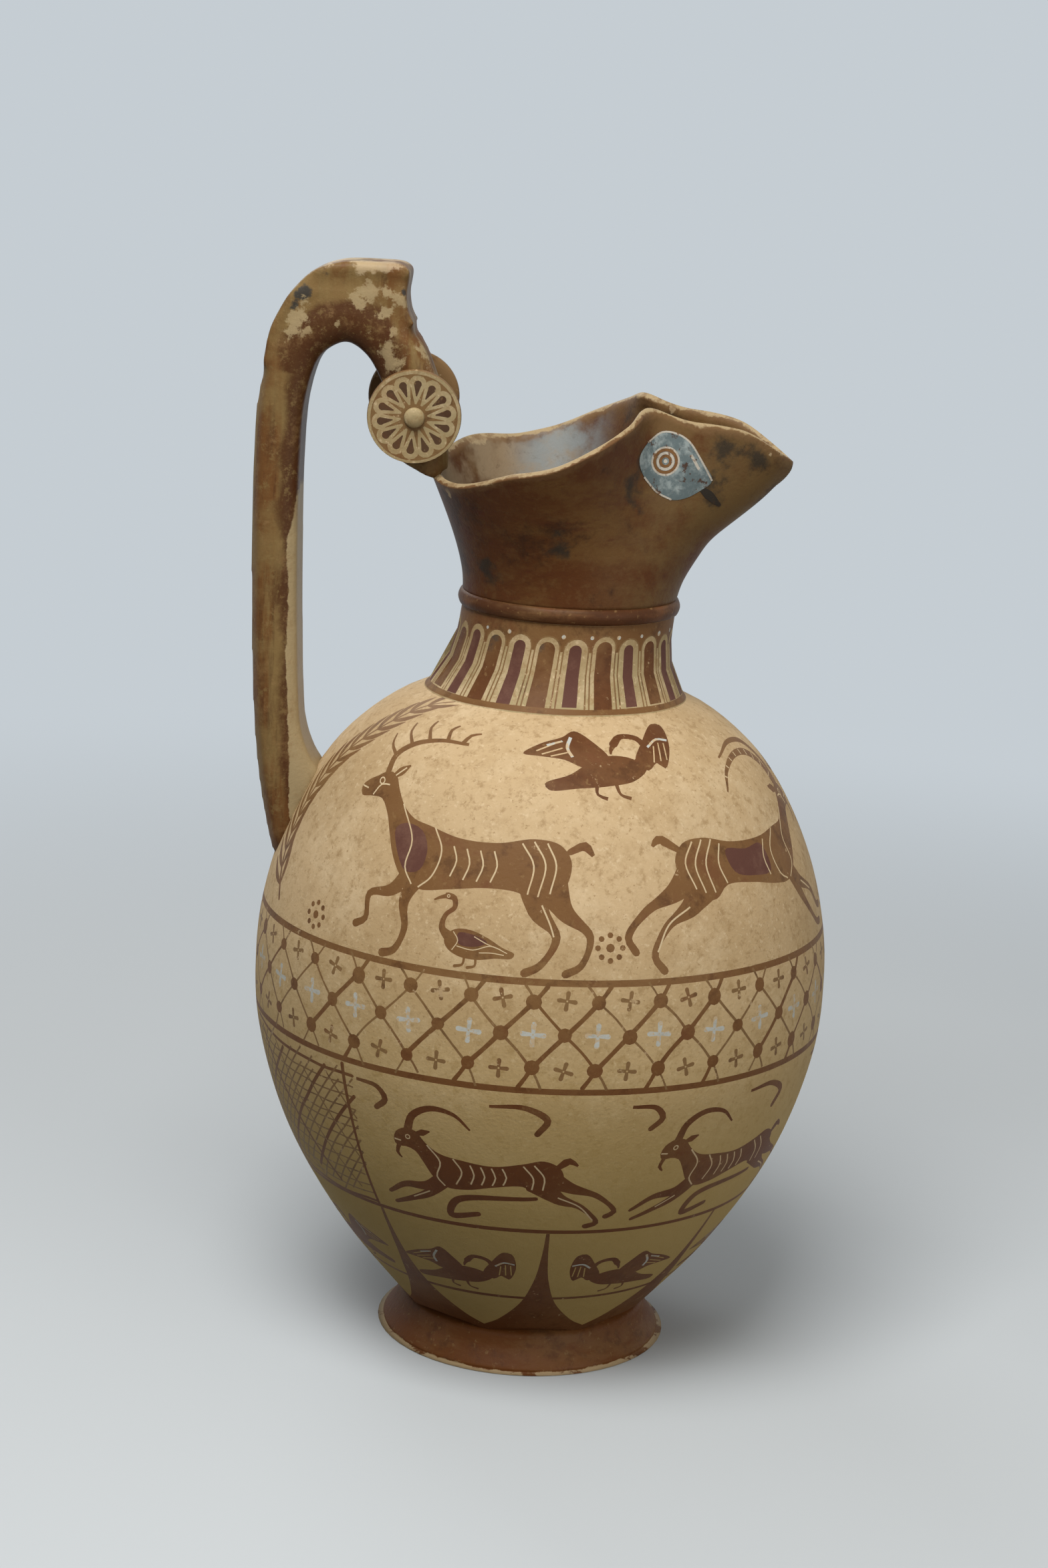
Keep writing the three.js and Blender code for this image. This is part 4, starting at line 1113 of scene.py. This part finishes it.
def soften(mesh):
    """Even out a mesh, most of all along the seam between strap and thumb rest."""
    points = np.array([v.co[:] for v in mesh.vertices])
    edges = np.array([e.vertices[:] for e in mesh.edges])
    degree = np.bincount(edges.ravel(), minlength=len(points)).astype(float)[:, None]
    rest, strap = search_tree(nodes["thumb_rest"].data), search_tree(nodes["handle"].data)
    apart = np.array([abs(rest.find_nearest(p)[3] - strap.find_nearest(p)[3]) for p in points])
    seam = np.clip(1.0 - apart / SEAM_REACH, 0.0, 1.0)[:, None]
    for turn in range(SEAM_PASSES):
        total = np.zeros_like(points)
        for a, b in ((0, 1), (1, 0)):
            for axis in range(3):
                total[:, axis] += np.bincount(edges[:, a], points[edges[:, b], axis], len(points))
        share = 0.5 if turn < SOFTENING else 0.5 * seam
        points += (total / degree - points) * share
    mesh.vertices.foreach_set("co", points.ravel())
    mesh.update()


def part_from(mesh, keep, name):
    """Some faces of a mesh as a mesh of their own, with the whole mesh's normals."""
    used = sorted({i for k in keep for i in mesh.polygons[k].vertices})
    order = {old: new for new, old in enumerate(used)}
    part = bpy.data.meshes.new(name)
    part.from_pydata([mesh.vertices[i].co[:] for i in used], [],
                     [[order[i] for i in mesh.polygons[k].vertices] for k in keep])
    part.polygons.foreach_set("use_smooth", [True] * len(keep))
    part.update()
    part.normals_split_custom_set_from_vertices([mesh.vertices[i].normal[:] for i in used])
    return part


# Bare patches where the slip has flaked: (x, y, z, radius) in millimetres, near side first
FLAKES = ((-80.2, -13, 309.2, 4.2), (-81.4, -13, 305.0, 2.6), (-78.6, -13, 313.0, 2.4),
          (-76.8, -12, 306.0, 1.6), (-63.8, -12, 315.2, 3.0), (-59.6, -12, 317.6, 2.8),
          (-55.4, -12, 317.2, 3.2), (-51.0, -12, 316.0, 2.6), (-54.8, -12, 311.8, 2.4),
          (-52.6, -12, 306.4, 2.4), (-54.0, -12, 301.8, 2.6), (-51.8, -12, 297.6, 2.6),
          (-44.0, -8, 301.4, 2.6), (-43.0, -9, 297.0, 1.8), (-68.7, -12, 308.2, 1.3),
          (-65.0, -12, 308.4, 1.2), (-50.0, -6, 322.0, 2.6), (-58.0, 8, 325.4, 3.2), (-66.0, 4, 325.6, 2.4),
          (-72.0, -8, 322.4, 2.0), (-62.0, 12, 312.0, 3.4), (-52.0, 12, 308.0, 2.6), (-80.0, 12, 306.0, 3.0),
          (-90.0, 4, 292.0, 2.2), (-91.0, -2, 262.0, 1.6), (-92.0, 6, 236.0, 1.4), (-91.5, 2, 205.0, 1.6),
          (-86.0, 13, 250.0, 2.0))
SMOKES = ((-79.2, -12, 316.4, 2.8), (-81.4, -11, 312.6, 1.8), (-72.6, -10, 322.8, 2.4),
          (-49.2, -12, 318.0, 1.6), (-70.0, 10, 322.0, 3.0), (-88.0, 12, 300.0, 2.6))
HANDLE_BARE = (0.385, 0.295, 0.160)
OLIVE = (0.230, 0.155, 0.060)
ARCH_AT, ARCH_R = (-66.5, 297.0), 27.0   # middle and reach of the crown's bend
CREAM_EDGE = 11.0   # how far in from the riser's back its slip ends, in millimetres
CREAM_TOP = 262.0   # the level where slip covers the riser all round


def blobs(points, spots):
    """How far inside the nearest of some spots each point lies, as a share of its radius."""
    value = np.full(len(points), -3.0)
    for x, y, z, r in spots:
        away = np.linalg.norm(points - np.array([x, y, z]), axis=1)
        value = np.maximum(value, 1.0 - away / r)
    return value


def tag_handle(mesh):
    """Tag what is bare, what is smoked, how far inside the slip's edge each corner lies, how deep in the
    crown's bend it lies for painted shade, and the rubbed top that also carries a painted highlight.
    """
    points = np.array([v.co[:] for v in mesh.vertices]) / MM
    levels = np.arange(140.0, 330.0, 3.0)
    back = []
    for level in levels:
        near = points[(np.abs(points[:, 2] - level) < 3.0)]
        back.append(near[:, 0].min() if len(near) else -92.0)
    x, z = points[:, 0], points[:, 2]
    from_back = x - np.interp(z, levels, back)
    heights = [146.0, 190.0, 246.0, CREAM_TOP, CREAM_TOP + 6]
    covered = np.interp(z, heights, [7.6, CREAM_EDGE, 11.4, 14.5, 90.0])
    tag_values(mesh, "covered", covered - from_back)
    # painted shade: corners deep in the crown's bend, and at the back of the riser, are tagged to be darkened
    from_crown = ARCH_R - np.hypot(x - ARCH_AT[0], z - ARCH_AT[1])
    depth = np.where(z > ARCH_AT[1] - 4, from_crown, np.where(x < -70, from_back, 6.0))
    tag_values(mesh, "arch_shade", np.clip((depth - 5.0) / 7.0, 0, 1))
    tag_values(mesh, "flaked", blobs(points, FLAKES))
    tag_values(mesh, "smoked", blobs(points, SMOKES))
    # the pale top of the crown: slip rubbed off, and also a painted highlight
    tag_values(mesh, "rubbed", np.clip((z - 318.0) / 8.0, 0, 1) * np.clip((x + 84.0) / 12.0, 0, 1))


def handle_material():
    """Streaky slip along the strap, flaked at the crown, ending in a wavering line on the riser; painted shade
    darkens the inside of the crown's bend, and a rubbed pale top doubles as a painted highlight.
    """
    m = Shading("handle_slip", (0.150, 0.066, 0.021), 0.42)
    along = (1.0, 1.0, 0.12)
    m.cloud(150, 5, 0.6, 0.44, 0.60, OLIVE, 0.8, along)
    m.cloud(210, 6, 0.7, 0.50, 0.64, SLIP_DARK, 0.65, along)
    m.cloud(34, 5, 0.65, 0.46, 0.62, OLIVE, 0.65)
    # painted shade darkening the inside of the crown's bend
    m.patch("arch_shade", 60, 2.0, 0.35, 0.8, (0.068, 0.023, 0.008), 0.9)
    m.cloud(60, 8, 0.8, 0.54, 0.68, (0.095, 0.033, 0.012), 0.7)
    m.cloud(240, 8, 0.8, 0.52, 0.64, OLIVE, 0.6)
    m.cloud(520, 4, 0.6, 0.60, 0.70, OLIVE, 0.5)
    m.patch("smoked", 140, 2.4, 0.0, 0.35, SMOKE, 0.85)
    # pale rubbed top, partly a painted highlight, with smoke smudges in it
    m.patch("rubbed", 85, 2.6, 0.78, 1.0, CLAY_PALE, 0.5)
    m.layer(m.both(m.tag("rubbed"), m.ramp(m.noise(62, 7, 0.7), 0.53, 0.62)), SMOKE, 0.7)
    bare = m.frayed(m.frayed(m.tag("flaked"), 95, 5.0), 420, 3.4)
    m.layer(m.ramp(bare, 0.0, 0.5), HANDLE_BARE, 0.8)
    chips = m.ramp(m.noise(170, 10, 0.82), 0.60, 0.65)
    m.layer(m.both(chips, m.ramp(m.axis("Z"), 0.285, 0.300)), HANDLE_BARE, 0.75)
    m.patch("covered", 60, 5.0, 0.25, -0.15, HANDLE_BARE, 1.0)
    m.cloud(105, 9, 0.8, 0.51, 0.68, SLIP_GOLD, 0.5)
    m.cloud(230, 8, 0.75, 0.56, 0.68, CLAY_STAIN, 0.35)
    return m.finish()


def make_handle():
    fused = fused_handle()
    rest, strap = search_tree(nodes["thumb_rest"].data), search_tree(nodes["handle"].data)
    mine = {"handle": [], "thumb_rest": []}
    for face in fused.polygons:
        nearer = rest.find_nearest(face.center)[3] < strap.find_nearest(face.center)[3]
        mine["thumb_rest" if nearer else "handle"].append(face.index)
    material = handle_material()
    for node, faces in mine.items():
        name = node + "_fired"
        part = part_from(fused, faces, name)
        tag_handle(part)
        add_piece(name, part, material, node)


# The mouth: tagged with the distance from its lip, and with what is inside


def rows_up(mesh):
    """How many rows of corners each corner stands above the mouth's seat, and whether it is on the inside."""
    neighbours = [[] for _ in mesh.vertices]
    for edge in mesh.edges:
        a, b = edge.vertices
        neighbours[a].append(b)
        neighbours[b].append(a)
    lowest = min(v.co.z for v in mesh.vertices)
    seat = [v.index for v in mesh.vertices if v.co.z < lowest + 0.01 * MM]
    axis = sum((mesh.vertices[i].co for i in seat), Vector()) / len(seat)
    reach = {i: math.hypot(mesh.vertices[i].co.x - axis.x, mesh.vertices[i].co.y) for i in seat}
    middle = (min(reach.values()) + max(reach.values())) / 2
    row = {i: 0 for i in seat}
    within = {i: reach[i] < middle for i in seat}
    front = seat
    while front:
        following = []
        for i in front:
            for j in neighbours[i]:
                if j not in row:
                    row[j] = row[i] + 1
                    within[j] = within[i]
                    following.append(j)
        front = following
    return row, within


def tag_mouth(mesh):
    """Tag how far from the lip each corner lies, whether it is on the inside, and where it is worn."""
    row, within = rows_up(mesh)
    points = np.array([v.co[:] for v in mesh.vertices]) / MM
    lip = [i for i in range(len(points)) if row[i] == max(row.values())]
    away = np.array([np.linalg.norm(points[lip] - p, axis=1).min() for p in points])
    tag_values(mesh, "from_lip", away)
    tag_values(mesh, "inside", [float(within[i]) for i in range(len(points))])
    tag_values(mesh, "smoked", blobs(points, MOUTH_SMOKES))
    tag_values(mesh, "flaked", blobs(points, MOUTH_FLAKES))


MOUTH_SMOKES = ((45.0, -14, 278.5, 5.0), (50.0, -13, 277.0, 4.0), (55.0, -10, 274.5, 3.4),
                (43.0, -14, 264.2, 3.4), (22.0, -22, 276.0, 4.0), (18.0, -26, 268.0, 3.6),
                (20.0, -24, 262.0, 3.0), (36.0, -17, 284.5, 2.6), (-22.0, -24, 243.0, 5.0),
                (0.0, -34, 250.0, 3.6), (39.0, -16, 266.5, 3.0), (14.0, 24, 283.0, 7.0),
                (16.8, 18, 280.0, 6.0), (-30.0, -24, 242.0, 7.0), (12.0, 22, 270.0, 6.0),
                (56.0, 10, 268.0, 6.0), (30.0, 16, 281.0, 5.0))
MOUTH_FLAKES = ((-31.7, 28, 273.4, 4.6), (-28.0, 31, 273.0, 3.6), (-22.5, 37, 262.3, 3.4),
                (-20.0, 38, 262.6, 3.0), (39.5, -10, 248.3, 1.6), (-36.0, 20, 271.0, 3.0),
                (-34.0, -22, 262.0, 2.6), (20.0, -17, 289.0, 2.6), (58.0, -8, 277.0, 2.0),
                (30.0, 15, 286.5, 2.0))


def mouth_material():
    """Dark slip brushed round the outside; the inside worn pale, with a painted blue-grey sheen; a bare,
    chipped lip.
    """
    m = Shading("mouth_slip", (0.098, 0.034, 0.010), 0.48)
    m.cloud(24, 6, 0.66, 0.46, 0.62, (0.150, 0.076, 0.024), 0.8, (1.0, 1.0, 2.0))
    m.cloud(54, 6, 0.7, 0.50, 0.68, (0.085, 0.024, 0.010), 0.8, ROUND)
    front = m.both(m.ramp(m.axis("X"), 0.002, 0.034), m.ramp(m.noise(38, 6, 0.7), 0.34, 0.56))
    m.layer(front, (0.165, 0.105, 0.040), 0.7)
    m.cloud(31, 7, 0.72, 0.51, 0.64, (0.040, 0.016, 0.007), 0.85)
    m.cloud(330, 6, 0.7, 0.50, 0.64, (0.150, 0.080, 0.030), 0.35)
    inner = m.tag("inside")
    pale = m.both(m.ramp(m.axis("X"), 0.012, -0.004), m.ramp(m.noise(30, 5), 0.36, 0.50))
    m.layer(m.both(inner, pale), (0.33, 0.245, 0.150), 0.9)
    # painted reflection: a blue-grey sheen across the middle of the inside
    blue_sheen = m.both(m.ramp(m.axis("X"), -0.022, -0.008), m.ramp(m.axis("X"), 0.016, 0.004))
    m.layer(m.both(m.both(inner, blue_sheen), m.ramp(m.noise(42, 6), 0.40, 0.58)), (0.235, 0.265, 0.27), 0.85)
    m.patch("smoked", 60, 5.0, -0.3, 0.5, (0.030, 0.024, 0.017), 0.85)
    m.patch("flaked", 120, 2.4, 0.0, 0.2, (0.50, 0.385, 0.23), 0.9)
    m.patch("from_lip", 60, 6.0, 3.6, 2.4, (0.20, 0.11, 0.048), 0.5, 4)
    m.patch("from_lip", 120, 6.5, 1.7, 1.0, (0.42, 0.315, 0.175), 0.9)
    flecked = m.both(m.ramp(m.noise(260, 8, 0.8), 0.50, 0.60), m.ramp(m.tag("from_lip"), 4.0, 2.0))
    m.layer(flecked, (0.19, 0.105, 0.045), 0.6)
    m.cloud(200, 8, 0.75, 0.56, 0.66, SLIP_DARK, 0.3)
    return m.finish()


def turned_slip(name, base, bare_low, bare_high, edge):
    """Slip on a turned piece, brushed round it, worn to the clay over a range of height."""
    m = Shading(name, base, 0.45)
    m.slip(0.45, ROUND)
    height = m.ramp(m.axis("Z"), bare_high, bare_low)
    m.layer(m.ramp(m.frayed(height, 110, 2.4), edge, edge + 0.12), (0.42, 0.31, 0.175), 0.9)
    return m.finish()


def lining(node):
    """The inside, rims and floor of a turned piece whose outside is painted."""
    work = cleaned(node)
    outer = [f for f in work.faces if faces_out(f.normal, f.calc_center_median())]
    bmesh.ops.delete(work, geom=outer, context="FACES")
    mesh = into_mesh(work, node + "_inside")
    obj = add_piece(node + "_inside", mesh, inside_clay, node)
    obj.modifiers.new("rims", "EDGE_SPLIT").split_angle = math.radians(40)


# Discs: a painted rosette on each face
SIDES = {"right": -1, "left": 1}   # which way along Y each side of the pot looks


def disc_frame(side):
    """Middle of a disc's face and its outward direction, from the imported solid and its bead."""
    faces = [f for f in nodes["disc_" + side].data.polygons if f.normal.y * SIDES[side] > 0.9]
    out = sum((f.normal * f.area for f in faces), Vector()).normalized()
    low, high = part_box("boss_" + side)
    bead = (Vector(low) + Vector(high)) / 2
    level = max(v.co.dot(out) for v in nodes["disc_" + side].data.vertices)
    return bead + out * (level - bead.dot(out)), out


PETALS = 14
ROSETTE_R = 12.6
RIM_W = 0.9


def petal(a, inner, outer, half):
    """Drop-shaped petal: a point at the inner end, a round outer end; half is its half width."""
    side = [(inner, 0.15), ((inner * 0.45 + outer * 0.55), half * 0.72), (outer - half, half)]
    crown = [(outer - half + half * math.sin(t), half * math.cos(t)) for t in (0.5, 1.0, math.pi / 2)]
    flat = side + crown + [(r, -w) for r, w in reversed(side + crown[:-1])]
    c, d = math.cos(a), math.sin(a)
    return [(r * c - w * d, r * d + w * c) for r, w in flat]


def rosette():
    """Pale petals with dark hearts round a ringed bead."""
    # rim and petals in the clay toned darker as painted shade
    shapes = [("shaded_clay", dot(0, 0, ROSETTE_R + RIM_W, 48)), ("wash", dot(0, 0, ROSETTE_R, 48))]
    step = 2 * math.pi / PETALS
    for k in range(PETALS):
        a = step * (k + 0.35)
        half = ROSETTE_R * math.sin(step / 2) * 0.90
        shapes.append(("shaded_clay", petal(a, 3.6, ROSETTE_R - 0.25, half)))
        shapes.append(("heart", petal(a, 6.2, ROSETTE_R - 1.8, half * 0.46)))
    shapes.append(("wash", dot(0, 0, 3.9, 24)))
    return shapes


DECAL_LIFT = 0.12


def lay_rosette(side):
    """The rosette on a disc's outer face, its rim raised and its edge turned down."""
    middle, out = disc_frame(side)
    up = (Vector((0, 0, 1)) - out * out.z).normalized()
    right = up.cross(out)

    def place(points):
        r = np.hypot(points[:, 0], points[:, 1])
        relief = 0.35 * np.clip((r - ROSETTE_R + 0.3) / 0.4, 0, 1)
        relief *= np.clip((ROSETTE_R + RIM_W - r) / 0.3, 0, 1)
        relief -= 0.5 * np.clip((r - ROSETTE_R - RIM_W + 0.25) / 0.25, 0, 1)
        lift = (DECAL_LIFT + relief) * MM
        where = (np.array(middle) + np.outer(points[:, 0], right) * MM + np.outer(points[:, 1], up) * MM
                 + np.outer(lift, out))
        return where, np.tile(np.array(out), (len(points), 1))

    return decal("rosette_" + side, rosette(), place, 1.6)


# Eyes on the spout, one on either side
EYE_CENTRE = (28.0, 274.4)
EYE_OVER = [(20.3, 275.4), (22.6, 279.8), (26.6, 282.6), (31.0, 282.2), (34.6, 280.2), (38.0, 275.6),
            (42.0, 269.0)]
EYE_UNDER = [(38.6, 266.0), (34.4, 263.8), (30.4, 263.4), (26.0, 265.6), (22.0, 270.0)]


def eye_drawing():
    """A pale almond with ringed iris, given by x and z in millimetres."""
    x, z = EYE_CENTRE
    shapes = [("smear", stroke([(38.0, 267.4), (41.2, 264.9), (44.6, 261.8)], [1.0, 2.8, 1.2], 1.0)),
              ("blue", spline(EYE_OVER + EYE_UNDER, True, 1.0)), ("chalk", stroke(EYE_OVER[1:], 0.5, 1.0)),
              ("chalk", stroke(EYE_UNDER[2:], 0.5, 1.0)),
              ("chalk", stroke([(35.4, 276.4), (38.0, 272.2)], 0.8, 1.0))]
    rings = (("chalk", 3.9, 0.6, 20), ("slip", 3.2, 0.9, 18), ("chalk", 2.3, 0.7, 14), ("slip", 1.5, 0.9, 12))
    shapes += [(paint_name, ring(x, z, r, width, n)) for paint_name, r, width, n in rings]
    return shapes + [("chalk", dot(x, z, 0.6, 8))]


def lay_eye(side, target):
    """Cast the drawing sideways on the outside of the mouth."""
    sign = SIDES[side]

    def place(points):
        where, normal = [], []
        for x, z in points:
            hit, out, _, _ = target.ray_cast(Vector((x * MM, 0.12 * sign, z * MM)), Vector((0, -sign, 0)))
            if hit is None:
                hit, out, _, _ = target.find_nearest(Vector((x * MM, 0.02 * sign, z * MM)))
            out = out if out.y * sign > 0 else -out
            where.append(hit + out * DECAL_LIFT * MM)
            normal.append(out)
        return np.array([w[:] for w in where]), np.array([n[:] for n in normal])

    return decal("eye_" + side, eye_drawing(), place, 1.0, side == "left")


inside_clay = clay_material("inside_clay", (0.36, 0.235, 0.115), 0.8)
for node in ("body", "neck"):
    lining(node)
make_handle()
mouth_piece = subdivided("mouth_fired", "mouth", mouth_material(), 50.0, tag_mouth, 2, ("low",))
foot_slip = turned_slip("foot_slip", (0.135, 0.047, 0.012), -0.0006, 0.0024, 0.60)
subdivided("foot_fired", "foot", foot_slip, joints=("high", "fillet"))
ring_slip = turned_slip("ring_slip", (0.080, 0.030, 0.011), 0.0, 0.001, 2.0)
subdivided("ring_fired", "neck_ring", ring_slip, joints=("low", "high"))
for side in SIDES:
    subdivided("disc_fired_" + side, "disc_" + side, paint["wash"])
    # bosses in the clay toned darker as painted shade
    subdivided("boss_fired_" + side, "boss_" + side, paint["shaded_clay"], levels=2)
mouth_surface = search_tree(evaluated_mesh(mouth_piece))
for side in SIDES:
    lay_rosette(side)
    lay_eye(side, mouth_surface)


# Floor, backdrop and light
PAPER = (0.56, 0.60, 0.63, 1)
PAPER_SHADE = (0.10, 0.10, 0.10, 1)
FAR_GLOW = (0.56, 0.61, 0.65, 1)
NEAR_R, FAR_R = 0.28, 0.95   # the paper's shadow fades out between these distances
SKY = (0.92, 0.90, 0.86, 1)
SKY_POWER = 0.26


def looked_at(tree):
    """1 where the camera or a gloss sees the surface, 0 where it only lights the pot."""
    path = add_node(tree, "LightPath").outputs
    either = add_node(tree, "Math", {0: path["Is Camera Ray"], 1: path["Is Glossy Ray"]})
    either.operation = "MAXIMUM"
    return either.outputs[0]


def paper_material():
    """Pale where the camera or a gloss sees it, dim where it would throw light up at the pot.

    Round the pot the paper takes its shadow; further out it keeps one even tone."""
    material = bpy.data.materials.new("paper")
    material.use_nodes = True
    tree = material.node_tree
    pale = tree.nodes["Principled BSDF"]
    pale.inputs["Base Color"].default_value = PAPER
    pale.inputs["Roughness"].default_value = 0.95
    glow = add_node(tree, "Emission", {"Color": FAR_GLOW})
    reach = add_node(tree, "VectorMath", {0: add_node(tree, "TexCoord").outputs["Object"]})
    reach.operation = "LENGTH"
    far = smooth_step(tree, reach.outputs["Value"], NEAR_R, FAR_R)
    seen = add_node(tree, "MixShader", {0: far, 1: pale.outputs[0], 2: glow.outputs[0]})
    dim = add_node(tree, "BsdfDiffuse", {"Color": PAPER_SHADE})
    choice = add_node(tree, "MixShader", {0: looked_at(tree), 1: dim.outputs[0], 2: seen.outputs[0]})
    tree.links.new(choice.outputs[0], tree.nodes["Material Output"].inputs["Surface"])
    return material


floor_material = paper_material()


def sweep(depth=3.0, height=3.0, front=-2.0, width=6.0, bend=0.8, steps=16):
    """Floor and backdrop in one sheet, joined by a wide bend."""
    profile = [(front, 0.0), (depth - bend, 0.0)]
    profile += [(depth - bend + bend * math.sin(math.pi / 2 * k / steps),
                 bend - bend * math.cos(math.pi / 2 * k / steps)) for k in range(1, steps + 1)]
    profile.append((depth, height))
    verts = [(x, y, z) for y, z in profile for x in (-width / 2, width / 2)]
    faces = [(2 * k, 2 * k + 1, 2 * k + 3, 2 * k + 2) for k in range(len(profile) - 1)]
    mesh = bpy.data.meshes.new("sweep")
    mesh.from_pydata(verts, [], faces)
    mesh.polygons.foreach_set("use_smooth", [True] * len(faces))
    mesh.materials.append(floor_material)
    placed("sweep", mesh)


sweep()

world = bpy.data.worlds.new("studio")
bpy.context.scene.world = world
world.use_nodes = True
sky = world.node_tree
lit = sky.nodes["Background"]
lit.inputs["Color"].default_value = SKY
lit.inputs["Strength"].default_value = SKY_POWER
shown = add_node(sky, "Background", {"Color": FAR_GLOW})
mixed = add_node(sky, "MixShader", {0: looked_at(sky), 1: lit.outputs[0], 2: shown.outputs[0]})
sky.links.new(mixed.outputs[0], sky.nodes["World Output"].inputs["Surface"])


def area(name, location, target, size, power, colour=(1, 1, 1)):
    """A square soft light that looks at a point."""
    data = bpy.data.lights.new(name, "AREA")
    data.size = size
    data.energy = power
    data.color = colour
    obj = placed(name, data)
    obj.location = location
    obj.rotation_euler = (Vector(target) - Vector(location)).to_track_quat("-Z", "Y").to_euler()


area("key", (-0.22, -0.62, 1.25), (0, 0, 0.2), 0.7, 16, (1.0, 0.98, 0.95))
area("fill", (0.9, -0.9, 0.5), (0, 0, 0.14), 0.9, 4.6, (1.0, 0.97, 0.92))
area("back", (-0.5, 0.9, 0.9), (0, 0, 0.2), 0.6, 3)

# Camera at the photograph's place, with lengths in metres and angles in radians
PHOTO_WIDTH = 1568   # pixels
CAM_D, CAM_H, FOCAL_PX = 0.86897, 0.3698, 4405.5
PAN, TILT, ROLL = -0.00901, 0.22341, 0.05457
SENSOR = 36.0


def photo_camera():
    """Camera in front of the pot, turned by pan, then tilt, then roll, all in radians."""
    ahead = Vector((math.sin(PAN) * math.cos(TILT), math.cos(PAN) * math.cos(TILT), -math.sin(TILT)))
    level = Vector((math.cos(PAN), -math.sin(PAN), 0))
    upward = level.cross(ahead)
    right = math.cos(ROLL) * level + math.sin(ROLL) * upward
    top = math.cos(ROLL) * upward - math.sin(ROLL) * level
    data = bpy.data.cameras.new("camera")
    data.sensor_fit = "HORIZONTAL"
    data.sensor_width = SENSOR
    data.lens = SENSOR * FOCAL_PX / PHOTO_WIDTH
    camera = placed("camera", data)
    turn = Matrix((right, top, -ahead)).transposed().to_4x4()
    camera.matrix_world = Matrix.Translation((0, -CAM_D, CAM_H)) @ turn
    bpy.context.scene.camera = camera


photo_camera()
bpy.context.scene.view_settings.view_transform = "Standard"
